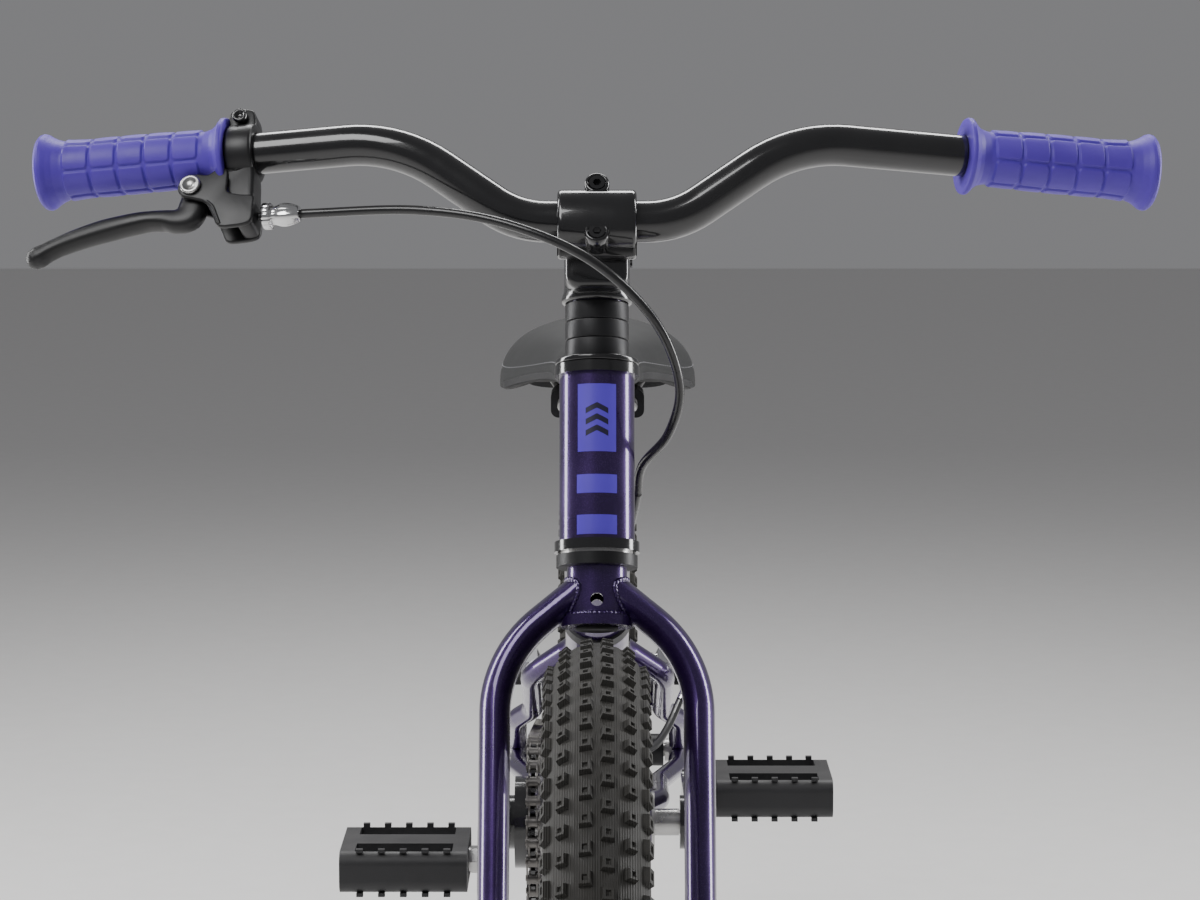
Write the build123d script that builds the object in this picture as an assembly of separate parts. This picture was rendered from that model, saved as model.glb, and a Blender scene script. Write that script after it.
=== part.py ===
from build123d import *
import os
from math import acos, atan2, cos, degrees, hypot, pi, radians, sin, sqrt, tan

# A children's 16 inch BMX bike, in millimetres. X points to the rider's left, Y to the back and Z up.
# The origin is on the ground, under the middle of the wheelbase.

# ---------------------------------------------------------------- driving dimensions
wheelbase = 770.0
tyre_radius = 206.5
tyre_width = 56.0
tyre_wall = 3.5
bead_radius = 152.5
rim_width = 32.0
rim_flange = 6.5
rim_depth = 18.0
rim_wall = 2.0
spoke_count = 20
spoke_diameter = 2.0

head_angle = 74.0
head_tube_y = -286.0
head_tube_z = 450.0
head_tube_length = 89.0
head_tube_diameter = 40.0
head_tube_bore = 34.0
steerer_diameter = 28.6
steerer_bore = 25.0
crown_collar_diameter = 38.0
crown_tube_diameter = 32.0
crown_drop = 45.0
fork_leg_spacing = 107.0
fork_leg_width = 16.5
fork_leg_depth = 26.0
fork_shoulder_drop = 43.4
fork_shoulder_radius = 63.0
crown_hole = 7.0

bar_diameter = 22.2
bar_wall = 2.0
bar_half_width = 298.0
bar_forward = 35.7
bar_height = 165.6
bar_rise = 43.7
bar_inner_corner = 42.0
bar_outer_corner = 105.0
bar_sweep = 37.5
bar_drop = 8.0
grip_length = 105.0
grip_diameter = 29.0
grip_flange = 41.0

seat_angle = 72.0
bottom_bracket_z = 221.0
seat_tube_diameter = 31.8
seat_tube_top = 406.0
top_tube_diameter = 31.8
down_tube_diameter = 36.0
tube_wall = 1.6
stay_diameter = 14.0
seat_post_diameter = 25.4
seat_post_length = 192.0
saddle_height = 529.0

front_hub_width = 100.0
rear_hub_width = 110.0
axle_diameter = 9.5
axle_tip_diameter = 8.5
axle_tip_length = 5.2
dropout_thickness = 5.0
bottom_bracket_shell = 68.0
chain_line = 40.0
chain_pitch = 12.7
chainring_teeth = 25
sprocket_teeth = 9
chain_links = 66
crank_length = 105.0
crank_outer = 70.0
pedal_length = 76.0
pedal_depth = 80.0
pedal_height = 25.0

brake_angle = 24.0
brake_radius = 128.0
brake_boss_spacing = 80.0
cable_diameter = 5.0
lever_tilt = 55.0
lever_pivot_drop = 23.0
lever_cable_drop = 40.0

# ---------------------------------------------------------------- named clearances
press = 0.02
running = 0.06
slip = 0.15
gap = 0.30

rear_axle_y = wheelbase / 2
front_axle_y = -wheelbase / 2
axle_z = tyre_radius


def pitch_radius(teeth):
    """The radius at which a chain of this pitch wraps a toothed ring by arc length."""
    return teeth * chain_pitch / (2 * pi)


def chain_loop(centres):
    """The length of a chain round both toothed rings at a centre distance."""
    step = pitch_radius(chainring_teeth) - pitch_radius(sprocket_teeth)
    lean = acos(step / centres)
    wraps = 2 * (pi - lean) * pitch_radius(chainring_teeth) + 2 * lean * pitch_radius(sprocket_teeth)
    return 2 * sqrt(centres**2 - step**2) + wraps


# The bottom bracket lies as far ahead of the rear axle as a whole number of links allows.
drive_centres = chain_links * chain_pitch / 2
for attempt in range(40):
    drive_centres += (chain_links * chain_pitch - chain_loop(drive_centres)) / 2
bottom_bracket_y = rear_axle_y - sqrt(drive_centres**2 - (bottom_bracket_z - axle_z) ** 2)
print(f"bottom bracket at y {bottom_bracket_y:.2f}")


# ---------------------------------------------------------------- helpers
def save(node, *solids):
    """Write one node; each solid in it is a separate piece."""
    os.makedirs("parts", exist_ok=True)
    shape = solids[0] if len(solids) == 1 else Compound(children=list(solids))
    export_step(shape, f"parts/{node}.step")


def rod(start, end, radius):
    """A round bar between two points."""
    axis = Vector(*end) - Vector(*start)
    place = Plane(origin=start, z_dir=axis)
    return place * Cylinder(radius, axis.length, align=(Align.CENTER, Align.CENTER, Align.MIN))


def disc(radius, low, high, bore=0.0):
    """A round plate about Z from one height to another, with an optional bore."""
    body = Pos(0, 0, (low + high) / 2) * Cylinder(radius, high - low)
    if bore:
        body -= Pos(0, 0, (low + high) / 2) * Cylinder(bore, high - low + 2)
    return body


def turned(*points):
    """A solid turned about Z from (radius, height) points."""
    outline = Plane.XZ * make_face(Polyline(*points, close=True))
    return revolve(outline, Axis.Z, 360)


def hexagon(across_flats, low, high):
    """A hexagonal prism about Z."""
    face = RegularPolygon(across_flats / 2, 6, major_radius=False)
    return Pos(0, 0, low) * extrude(face, high - low)


def block(x0, x1, y0, y1, z0, z1):
    """A box between two corners."""
    return Pos((x0 + x1) / 2, (y0 + y1) / 2, (z0 + z1) / 2) * Box(x1 - x0, y1 - y0, z1 - z0)


def swept(path, section):
    """A section, drawn in its own plane, carried along a path."""
    return sweep(Plane(origin=path @ 0, z_dir=path % 0, x_dir=(1, 0, 0)) * section, path=path)


def corner_radii(points, share=0.45):
    """The largest even fillet at each inner point: a share of its shorter run."""
    radii = []
    for before, here, after in zip(points, points[1:], points[2:]):
        into = Vector(*here) - Vector(*before)
        out = Vector(*after) - Vector(*here)
        turn = radians(into.get_angle(out))
        radii.append(share * min(into.length, out.length) / tan(turn / 2))
    return radii


def cord(name, points, radius):
    """A cord of straight runs and tangent arcs; prints its radii, length and volume check."""
    radii = corner_radii(points)
    path = FilletPolyline(*points, radius=radii)
    body = sweep(Plane(origin=path @ 0, z_dir=path % 0) * Circle(radius), path=path)
    section = pi * radius**2
    print(f"{name}: length {path.length:.1f}, smallest arc {min(radii):.1f}")
    print(f"  volume {body.volume:.0f} against {section * path.length:.0f}")
    return body


def mirrored(shape):
    """The same piece on the other side of the bike."""
    return mirror(shape, about=Plane.YZ)


# Places in which sub-parts are drawn. On the steering axis, Y points back and Z up the steerer.
steer_dir = Vector(0, cos(radians(head_angle)), sin(radians(head_angle)))
steering = Plane(origin=(0, head_tube_y, head_tube_z), x_dir=(1, 0, 0), z_dir=steer_dir)


def on_axle(y, z):
    """A place on an axle: Y across is drawn as X, up as Y, and the axle (rider's left) as Z."""
    return Plane(origin=(0, y, z), x_dir=(0, 1, 0), z_dir=(1, 0, 0))


front_axle_place = on_axle(front_axle_y, axle_z)
rear_axle_place = on_axle(rear_axle_y, axle_z)
bottom_bracket_place = on_axle(bottom_bracket_y, bottom_bracket_z)

seat_dir = Vector(0, cos(radians(seat_angle)), sin(radians(seat_angle)))
seat_tube_length = (seat_tube_top - bottom_bracket_z) / sin(radians(seat_angle))
seat_place = Plane(
    origin=(0, bottom_bracket_y, bottom_bracket_z), x_dir=(1, 0, 0), z_dir=seat_dir
)

brake_out = Vector(0, -cos(radians(brake_angle)), sin(radians(brake_angle)))
brake_up = Vector(0, sin(radians(brake_angle)), cos(radians(brake_angle)))
brake_centre = Vector(0, rear_axle_y, axle_z) + brake_out * brake_radius
# In the brake's place X is the rider's right, Y runs from the hub outwards and Z lifts off the stays.
brake_place = Plane(origin=brake_centre, x_dir=(-1, 0, 0), z_dir=brake_up)


def steering_point(x, back, up):
    """A point given on the steering axis, in the bike's frame."""
    return steering.from_local_coords(Vector(x, back, up))


def seat_tube_point(z):
    """The centre of the seat tube at a height."""
    return (0, bottom_bracket_y + (z - bottom_bracket_z) / tan(radians(seat_angle)), z)


def brake_point(right, out, lift):
    """A point given in the brake's place, in the bike's frame."""
    return brake_place.from_local_coords(Vector(right, out, lift))


# ---------------------------------------------------------------- wheels
rim_outer = bead_radius + rim_flange
rim_inner = bead_radius - rim_depth + rim_flange
tyre_centre = tyre_radius - tyre_width / 2
hub_flange_offset = 28.0
hub_flange_radius = 24.0
spoke_circle = 20.0
spoke_hole = 1.3
nipple_radius = 2.0


def tyre():
    """A tyre: an open round section whose two necks end in beads inside the rim's flanges."""
    mouth = rim_width / 2 - rim_wall - gap
    outer = tyre_width / 2
    inner = outer - tyre_wall
    rim_top = rim_outer + gap
    depth = tyre_centre - rim_top
    face = Pos(tyre_centre, 0) * (Circle(outer) - Circle(inner))
    face -= Pos(rim_top / 2, 0) * Rectangle(rim_top, 2 * tyre_width)
    for side in (-1, 1):
        neck = [
            (bead_radius + gap, side * (mouth - tyre_wall)),
            (bead_radius + gap, side * mouth),
            (rim_top, side * mouth),
            (rim_top, side * (sqrt(outer**2 - depth**2) - 0.3)),
            (rim_top + 5, side * (sqrt(inner**2 - (depth - 5) ** 2) + 0.5)),
            (rim_top + 1, side * (mouth - tyre_wall)),
        ]
        face += make_face(Polyline(*neck, close=True))
    return revolve(Plane.XZ * face, Axis.Z, 360)


def inner_tube():
    """A thin tube inside the tyre, with its tyre valve through the rim."""
    outer = tyre_width / 2 - tyre_wall - 4.5
    centre = tyre_centre + 3.0
    ring = Torus(centre, outer)
    stem = rod((0, -(centre - outer + 0.6), 0), (0, -(rim_inner - 22), 0), 3.0)
    nut = rod((0, -(rim_inner - gap), 0), (0, -(rim_inner - 3), 0), 5.0)
    cap = rod((0, -(rim_inner - 12), 0), (0, -(rim_inner - 25), 0), 4.2)
    air = Torus(centre, outer - 1.2) + rod((0, -centre, 0), (0, -(rim_inner - 40), 0), 1.0)
    return ring + stem + nut + cap - air


def rim():
    """A single-wall rim: a turned channel drilled for the spokes and the valve."""
    half = rim_width / 2
    outline = [
        (rim_outer, half),
        (rim_inner + 3, half),
        (rim_inner, half - 6),
        (rim_inner, -half + 6),
        (rim_inner + 3, -half),
        (rim_outer, -half),
        (rim_outer, -half + rim_wall),
        (rim_inner + 3 + rim_wall, -half + rim_wall),
        (rim_inner + rim_wall, -half + 6 + rim_wall),
        (rim_inner + rim_wall, half - 6 - rim_wall),
        (rim_inner + 3 + rim_wall, half - rim_wall),
        (rim_outer, half - rim_wall),
    ]
    body = turned(*outline)
    body -= rod((0, -rim_inner + 10, 0), (0, -rim_inner - 10, 0), 3.0 + slip)
    for index in range(spoke_count):
        body -= spoke_line(index, rim_inner - 8, rim_inner + 8, nipple_radius + 0.5)
    return body


def spoke_ends(index):
    """The hub end and the rim end of one spoke: sides alternate, and pairs cross."""
    side = 1 if index % 2 else -1
    turn = 360 / spoke_count
    lean = 52 if (index // 2) % 2 else -52
    rim_angle = radians((index + 0.5) * turn - 90)
    hub_angle = rim_angle + radians(lean)
    offset = hub_flange_offset + (4.0 if lean > 0 else -4.0)
    hub = Vector(spoke_circle * cos(hub_angle), spoke_circle * sin(hub_angle), side * offset)
    top = rim_inner + rim_wall
    outer = Vector(top * cos(rim_angle), top * sin(rim_angle), side * 3)
    return hub, outer, side, lean


def spoke_line(index, low, high, radius):
    """A bar along one spoke between two radii near the rim."""
    hub, outer, side, lean = spoke_ends(index)
    run = outer - hub
    top = rim_inner + rim_wall
    start = outer - run * ((top - low) / run.length)
    end = outer - run * ((top - high) / run.length)
    return rod(start, end, radius)


def spokes():
    """Every spoke with its elbow and head, and every nipple in its rim hole."""
    pieces = []
    for index in range(spoke_count):
        hub, outer, side, lean = spoke_ends(index)
        run = outer - hub
        spoke = rod(hub, outer - run.normalized() * 9, spoke_diameter / 2)
        inward = -side if lean > 0 else side
        elbow_end = hub + Vector(0, 0, inward * 7.0)
        spoke += rod(hub, elbow_end, spoke_diameter / 2)
        spoke += Pos(*hub) * Sphere(spoke_diameter / 2)
        spoke += rod(elbow_end - Vector(0, 0, inward * 1.2), elbow_end, 2.0)
        pieces.append(spoke)
        nipple = spoke_line(index, rim_inner - 10, rim_inner + rim_wall + 1.0, nipple_radius)
        nipple -= spoke_line(index, rim_inner - 12, rim_inner - 4, spoke_diameter / 2 + 0.05)
        pieces.append(nipple)
    return pieces


def hub(width, bore, barrel, neck):
    """A hub shell: a barrel with two drilled flanges and a bore for its axle."""
    half = width / 2 - 8
    flange = hub_flange_offset
    body = turned(
        (bore, -half), (neck, -half), (neck, -flange - 1.5), (hub_flange_radius, -flange - 1.5),
        (hub_flange_radius, -flange + 1.5), (barrel, -flange + 1.5), (barrel, flange - 1.5),
        (hub_flange_radius, flange - 1.5), (hub_flange_radius, flange + 1.5), (neck, flange + 1.5),
        (neck, half), (bore, half),
    )
    for index in range(spoke_count):
        point, outer, side, lean = spoke_ends(index)
        start = Vector(point.X, point.Y, side * (flange - 6))
        end = Vector(point.X, point.Y, side * (flange + 6))
        body -= rod(start, end, spoke_hole)
    return body


def axle_set(width, reach):
    """An axle with its two cones and plain tips, and a nut and a washer for each end."""
    thread_end = reach - axle_tip_length
    axle = Cylinder(axle_diameter / 2, 2 * thread_end)
    axle += Cylinder(axle_tip_diameter / 2, 2 * reach)
    for side in (-1, 1):
        axle += Pos(0, 0, side * (width / 2 - 3.5)) * Cylinder(8.0, 7.0 - gap)
    fasteners = []
    for side in (-1, 1):
        start = width / 2 + dropout_thickness
        washer = disc(11, start, start + 1.5, axle_diameter / 2 + slip)
        nut = hexagon(15, start + 1.5, start + 9.5)
        nut += disc(9.5, start + 1.5, start + 3.0)
        nut -= Pos(0, 0, start + 5) * Cylinder(axle_diameter / 2 + press, 20)
        turn = Rot(180, 0, 0) if side < 0 else Rot(0, 0, 0)
        fasteners.append(turn * washer)
        fasteners.append(turn * nut)
    return axle, fasteners


hub_bore = axle_diameter / 2 + running

front_wheel_pieces = spokes()
save("front_tyre", front_axle_place * tyre())
save("front_inner_tube", front_axle_place * inner_tube())
save("front_rim", front_axle_place * rim())
save("front_spokes", *[front_axle_place * piece for piece in front_wheel_pieces])
save("front_hub", front_axle_place * hub(front_hub_width, hub_bore, 15.0, 13.0))
save("rear_tyre", rear_axle_place * tyre())
save("rear_inner_tube", rear_axle_place * inner_tube())
save("rear_rim", rear_axle_place * rim())
save("rear_spokes", *[rear_axle_place * piece for piece in front_wheel_pieces])

front_axle, front_nuts = axle_set(front_hub_width, front_hub_width / 2 + 20)
save("front_axle", front_axle_place * front_axle)
save("front_axle_nuts", *[front_axle_place * piece for piece in front_nuts])
rear_axle, rear_nuts = axle_set(rear_hub_width, rear_hub_width / 2 + 20)
save("rear_axle", rear_axle_place * rear_axle)
save("rear_axle_nuts", *[rear_axle_place * piece for piece in rear_nuts])

# ---------------------------------------------------------------- chain drive
roller_radius = 3.9
plate_height = 8.4
ring_thickness = 2.6
plate_thickness = 1.0
inner_plate = 1.9
outer_plate = 3.2


ring_radius = pitch_radius(chainring_teeth)
sprocket_radius = pitch_radius(sprocket_teeth)
drive_run = Vector(rear_axle_y - bottom_bracket_y, axle_z - bottom_bracket_z)
drive_length = drive_run.length
drive_tilt = atan2(drive_run.Y, drive_run.X)
wrap_lean = acos((ring_radius - sprocket_radius) / drive_length)
free_run = sqrt(drive_length**2 - (ring_radius - sprocket_radius) ** 2)
ring_wrap = 2 * (pi - wrap_lean)
sprocket_wrap = 2 * wrap_lean
chain_length = 2 * free_run + ring_radius * ring_wrap + sprocket_radius * sprocket_wrap
print(f"chain path {chain_length:.2f} for {chain_links} links of {chain_pitch}")
link_pitch = chain_length / chain_links


def chain_point(distance):
    """The place along the chain, in the drive's side view, counted from the chainring's top."""
    distance = distance % chain_length
    if distance < free_run:
        angle = drive_tilt + wrap_lean
        start = Vector(ring_radius * cos(angle), ring_radius * sin(angle))
        along = Vector(sin(angle), -cos(angle))
        return start + along * distance
    distance -= free_run
    if distance < sprocket_radius * sprocket_wrap:
        angle = drive_tilt + wrap_lean - distance / sprocket_radius
        return drive_run + Vector(sprocket_radius * cos(angle), sprocket_radius * sin(angle))
    distance -= sprocket_radius * sprocket_wrap
    if distance < free_run:
        angle = drive_tilt - wrap_lean
        start = drive_run + Vector(sprocket_radius * cos(angle), sprocket_radius * sin(angle))
        along = Vector(sin(angle), -cos(angle))
        return start + along * distance
    distance -= free_run
    angle = drive_tilt - wrap_lean - distance / ring_radius
    return Vector(ring_radius * cos(angle), ring_radius * sin(angle))


def toothed(teeth, radius, thickness, bore, first_angle):
    """A toothed ring whose notches sit on the chain's rollers."""
    body = Cylinder(radius + 2.6, thickness)
    for index in range(teeth):
        angle = first_angle + 2 * pi * index / teeth
        notch = Cylinder(roller_radius + 0.35, thickness + 2)
        body -= Pos(radius * cos(angle), radius * sin(angle), 0) * notch
        outer = radius + 3.2
        body -= Pos(outer * cos(angle), outer * sin(angle), 0) * Cylinder(roller_radius + 1.45, thickness + 2)
    return body - Cylinder(bore, thickness + 4)


def chain():
    """Alternate inner and outer links, each a pair of plates on its rollers or pins."""
    links = []
    for index in range(chain_links):
        start = chain_point(index * link_pitch)
        end = chain_point((index + 1) * link_pitch)
        run = end - start
        turn = degrees(atan2(run.Y, run.X))
        inner = index % 2 == 0
        offset = inner_plate if inner else outer_plate
        half = run.length / 2
        outline = SlotCenterToCenter(run.length, plate_height)
        outline -= Pos(0, plate_height * 1.35) * Circle(plate_height)
        outline -= Pos(0, -plate_height * 1.35) * Circle(plate_height)
        link = Pos(0, 0, offset) * extrude(outline, plate_thickness)
        link += Pos(0, 0, -offset - plate_thickness) * extrude(outline, plate_thickness)
        for place in (-half, half):
            if inner:
                link += Pos(place, 0, 0) * Cylinder(roller_radius, 2 * offset)
                link -= Pos(place, 0, 0) * Cylinder(2.1, 20)
            else:
                link += Pos(place, 0, 0) * Cylinder(1.9, 2 * offset + 2 * plate_thickness + 1.0)
        middle = (start + end) * 0.5
        links.append(Pos(middle.X, middle.Y, -chain_line) * (Rot(0, 0, turn) * link))
    return links


ring_first = drive_tilt + wrap_lean
sprocket_distance = (-free_run) % link_pitch
sprocket_first = drive_tilt + wrap_lean - sprocket_distance / sprocket_radius
spindle_radius = 8.5
seat_radius = 11.5


def chainring():
    """The front toothed ring: a bolted disc with ten round windows."""
    ring = toothed(chainring_teeth, ring_radius, ring_thickness, spindle_radius + 4 + slip, ring_first)
    for index in range(10):
        angle = 2 * pi * (index + 0.5) / 10
        ring -= Pos(36 * cos(angle), 36 * sin(angle), 0) * Cylinder(6.0, 10)
    ring -= Pos(-22, 0, 0) * Cylinder(4 + slip, 10)
    return Pos(0, 0, -chain_line) * ring


def rear_hub():
    """The rear hub shell with the threaded seat that carries the freewheel."""
    body = hub(rear_hub_width, hub_bore, 17.0, seat_radius)
    shoulder_low = chain_line - 5.0 - gap
    shoulder = Pos(0, 0, -(hub_flange_offset + shoulder_low) / 2)
    body += shoulder * Cylinder(seat_radius + 3, shoulder_low - hub_flange_offset)
    return body - Cylinder(hub_bore, 200)


def freewheel():
    """The one-way sprocket that turns on the rear hub's seat."""
    ring = toothed(sprocket_teeth, sprocket_radius, ring_thickness, seat_radius + running, sprocket_first)
    ring += disc(seat_radius + 1.0, -5.0, 5.0, seat_radius + running)
    return Pos(0, 0, -chain_line) * ring


save("chain", *[bottom_bracket_place * link for link in chain()])
save("chainring", bottom_bracket_place * chainring())
save("rear_hub", rear_axle_place * rear_hub())
save("freewheel_sprocket", rear_axle_place * freewheel())

# ---------------------------------------------------------------- cranks and pedals
shell_outer = 21.0
shell_bore = 17.0
arm_inner = 52.0
spindle_end = 66.0
pedal_inner = crank_outer + 6.0


def bottom_bracket_cup(side):
    """A cup pressed into the shell; the spindle turns in it."""
    edge = bottom_bracket_shell / 2
    cup = disc(shell_bore - press, edge - 16, edge, spindle_radius + running)
    cup += disc(shell_outer, edge, edge + 2.0, spindle_radius + running)
    return cup if side > 0 else Rot(180, 0, 0) * cup


def crank_arm(side):
    """A forged arm, drawn along +Y from the spindle to the pedal's eye."""
    boss = Pos(0, 0, (arm_inner + crank_outer) / 2) * Cylinder(17, crank_outer - arm_inner)
    eye_height = crank_outer - arm_inner - 4
    eye = Pos(0, crank_length, (arm_inner + crank_outer) / 2 + 2) * Cylinder(12.5, eye_height)
    blade = Polyline((-13, 0), (-10, crank_length), (10, crank_length), (13, 0), close=True)
    arm = boss + eye + Pos(0, 0, arm_inner + 3) * extrude(make_face(blade), crank_outer - arm_inner - 5)
    arm -= Cylinder(spindle_radius - 1 + press, 2 * spindle_end + 0.2)
    arm -= Cylinder(11.5, 2 * crank_outer + 1) - Cylinder(11.5, 2 * spindle_end + 0.2)
    arm -= Pos(0, crank_length, 0) * Cylinder(7 + press, 4 * crank_outer)
    return arm if side > 0 else mirror(arm, about=Plane.XY)


def right_arm():
    """The right arm with the spider that carries the chainring and its drive pin."""
    arm = crank_arm(-1)
    face = chain_line + ring_thickness / 2
    arm += disc(29, -arm_inner - 0.5, -face, spindle_radius + running) - disc(60, -60, -arm_inner)
    arm += disc(29, -arm_inner, -face, spindle_radius + 4)
    arm += disc(spindle_radius + 4, -face - 0.5, -chain_line + ring_thickness / 2, spindle_radius + running)
    arm += Pos(0, 22, -(chain_line + face + 3) / 2) * Cylinder(4, face + 3 - chain_line + ring_thickness)
    return arm


def pedal(side):
    """A plastic platform pedal, drawn with its axle along Z."""
    low = pedal_inner + 1.5
    body = Pos(0, 0, low + pedal_length / 2) * Box(pedal_depth, pedal_height, pedal_length)
    body = fillet(body.edges().filter_by(Axis.Z), 8)
    cage = Pos(0, 0, low + pedal_length / 2)
    for place in (-1, 1):
        body -= cage * (Pos(place * pedal_depth * 0.29, 0, 0) * Box(21, 60, pedal_length - 18))
    body += Pos(0, 0, low + pedal_length / 2) * Cylinder(11.5, pedal_length)
    for place in (-1, 1):
        for step in range(5):
            tread = low + 12 + step * (pedal_length - 24) / 4
            for edge in (-1, 1):
                spot = Pos(place * (pedal_depth / 2 - 4), edge * (pedal_height / 2 + 0.8), tread)
                body += spot * Box(4, 2.2, 4)
    body -= Pos(0, 0, low + pedal_length / 2 - 4) * Cylinder(7.5 + running, pedal_length)
    return body if side > 0 else mirror(body, about=Plane.XY)


def pedal_axle(side):
    """The pedal's steel axle: a thread in the arm, wrench flats and a plain journal."""
    axle = disc(7, crank_outer - 14, crank_outer)
    axle += hexagon(15, crank_outer + gap, pedal_inner + 0.6)
    axle += disc(7, crank_outer - 1, crank_outer + 1)
    axle += disc(7.5, pedal_inner, pedal_inner + pedal_length - 5)
    return axle if side > 0 else mirror(axle, about=Plane.XY)


# The right arm points forwards and the left one backwards.
forward_arm = Rot(0, 0, 90)
backward_arm = Rot(0, 0, -90)
right_pedal_place = on_axle(bottom_bracket_y - crank_length, bottom_bracket_z)
left_pedal_place = on_axle(bottom_bracket_y + crank_length, bottom_bracket_z)

spindle = disc(spindle_radius, -arm_inner + 0.5, arm_inner - 0.5)
spindle += Cylinder(spindle_radius - 1, 2 * spindle_end)
save("crank_spindle", bottom_bracket_place * spindle)
save("bottom_bracket_cups", *[bottom_bracket_place * bottom_bracket_cup(side) for side in (-1, 1)])
save("crank_arm_right", bottom_bracket_place * (forward_arm * right_arm()))
save("crank_arm_left", bottom_bracket_place * (backward_arm * crank_arm(1)))


def crank_bolt(side):
    """The bolt that closes the end of a crank arm."""
    head = disc(10.5, spindle_end + gap, crank_outer - 0.5)
    head -= hexagon(8, spindle_end + 1.5, crank_outer + 2)
    return head if side > 0 else mirror(head, about=Plane.XY)


save("crank_bolts", *[bottom_bracket_place * crank_bolt(side) for side in (-1, 1)])
save("pedal_axles", right_pedal_place * pedal_axle(-1), left_pedal_place * pedal_axle(1))
save("pedal_right", right_pedal_place * pedal(-1))
save("pedal_left", left_pedal_place * pedal(1))

# ---------------------------------------------------------------- frame
lower_joint = 29.5
upper_joint = 64.0
top_tube_end_z = 368.0
stay_out = 41.0
seat_stay_out = 44.0
stay_join_z = 342.0


def frame():
    """The welded frame: tubes, stays, dropouts and brake bosses in one piece."""
    head_low = steering_point(0, 0, 0)
    head_high = steering_point(0, 0, head_tube_length)
    down_start = steering_point(0, 0, lower_joint)
    top_start = steering_point(0, 0, upper_joint)
    bracket = (0, bottom_bracket_y, bottom_bracket_z)
    top_end = seat_tube_point(top_tube_end_z)
    seat_top = seat_tube_point(seat_tube_top)
    tubes = [
        (down_start, bracket, down_tube_diameter / 2),
        (top_start, top_end, top_tube_diameter / 2),
        (bracket, seat_top, seat_tube_diameter / 2),
        (head_low, head_high, head_tube_diameter / 2),
    ]
    body = bottom_bracket_place * Cylinder(shell_outer, bottom_bracket_shell)
    for start, end, radius in tubes:
        body += rod(start, end, radius)
    for side in (-1, 1):
        body += stays(side)
        body += dropout(side)
        body += boss(side)
    cut = steering * disc(head_tube_bore / 2, -5, head_tube_length + 5)
    cut += bottom_bracket_place * Cylinder(shell_bore, bottom_bracket_shell + 10)
    bore = seat_post_diameter / 2 + running
    cut += rod(seat_tube_point(bottom_bracket_z + 30), seat_tube_point(seat_tube_top + 20), bore)
    body -= cut
    body -= tube_core(down_start, bracket, down_tube_diameter / 2 - tube_wall, 26, 28)
    body -= tube_core(top_start, top_end, top_tube_diameter / 2 - tube_wall, 24, 20)
    slot_low = seat_tube_point(seat_tube_top - 24)
    slot_high = seat_tube_point(seat_tube_top + 6)
    body -= rod(slot_low + Vector(0, 16, 5), slot_high + Vector(0, 16, 5), 1.2)
    return body


def tube_core(start, end, radius, first, last):
    """The hollow of a tube, with a vent hole at its lower end."""
    start, end = Vector(*start), Vector(*end)
    along = (end - start).normalized()
    core = rod(start + along * first, end - along * last, radius)
    return core + rod(start + along * 10, start + along * (first + 2), 3.0)


def stays(side):
    """A chain stay and a seat stay, bowed out round the tyre."""
    chain_points = [
        (side * 18, bottom_bracket_y + 8, bottom_bracket_z - 2),
        (side * 25, bottom_bracket_y + 62, bottom_bracket_z - 6),
        (side * stay_out, bottom_bracket_y + 106, bottom_bracket_z - 8),
        (side * stay_out, rear_axle_y - 130, axle_z + 3),
        (side * 56, rear_axle_y - 62, axle_z),
        (side * 57.5, rear_axle_y - 18, axle_z),
    ]
    axle = Vector(0, rear_axle_y, axle_z)
    join = Vector(*seat_tube_point(stay_join_z))
    across = Vector(side, 0, 0)
    seat_points = [
        join + across * 7,
        join + across * 15 + Vector(0, 34, -20),
        axle + brake_out * 224 + across * seat_stay_out,
        axle + brake_out * 127 + across * seat_stay_out,
        axle + brake_out * 98 + across * 56,
        axle + brake_out * 17 + across * 57.5,
    ]
    body = sweep_round(chain_points, stay_diameter / 2, 34)
    return body + sweep_round(seat_points, stay_diameter / 2, 34)


def sweep_round(points, radius, bend):
    """A round tube bent through its points, each bend as wide as its runs allow."""
    allowed = corner_radii(points)
    path = FilletPolyline(*points, radius=[min(bend, most) for most in allowed])
    return sweep(Plane(origin=path @ 0, z_dir=path % 0) * Circle(radius), path=path)


def dropout(side):
    """A slotted plate that takes the rear axle."""
    inner = rear_hub_width / 2 + 0.05
    plate = Pos(0, 0, inner) * extrude(Circle(19), dropout_thickness - 0.1)
    plate += Pos(-14, 4, inner) * extrude(Rectangle(30, 26), dropout_thickness - 0.1)
    plate -= Cylinder(axle_diameter / 2 + slip, 300)
    plate -= block(0, 40, -(axle_diameter / 2 + slip), axle_diameter / 2 + slip, -150, 150)
    placed = rear_axle_place * plate
    return placed if side > 0 else mirrored(placed)


boss_radius = 8.0
pin_radius = 4.0
arm_low = 10.5
arm_high = 20.0
pin_top = 20.6


def boss(side):
    """A brake boss: a base on the seat stay and the pin that the arm turns on."""
    half = brake_boss_spacing / 2
    base = rod(brake_point(side * half, 0, 0), brake_point(side * half, 0, arm_low - gap), boss_radius)
    return base + rod(brake_point(side * half, 0, 5), brake_point(side * half, 0, pin_top), pin_radius)


save("frame", frame())

# ---------------------------------------------------------------- headset and fork
lower_stack = 13.5
upper_stack = 9.0
spacer_height = 10.0
spacer_count = 3
cup_radius = 22.5
stem_low = head_tube_length + upper_stack + 0.4 + spacer_count * spacer_height
stem_height = 38.0
steerer_top = stem_low + stem_height - 3


def headset_cup():
    """A pressed cup, drawn with its lip above the tube's end."""
    cup = disc(head_tube_bore / 2 - press, -14, 0, 16.0)
    return cup + disc(cup_radius, 0, 5.5, 19.0) + disc(19.5, 0, 1.5, 16.0)


def headset_bearing():
    """A cartridge bearing that fills a cup round the steerer."""
    return disc(19.0 - press, 1.6, 7.0, steerer_diameter / 2 + press)


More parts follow.
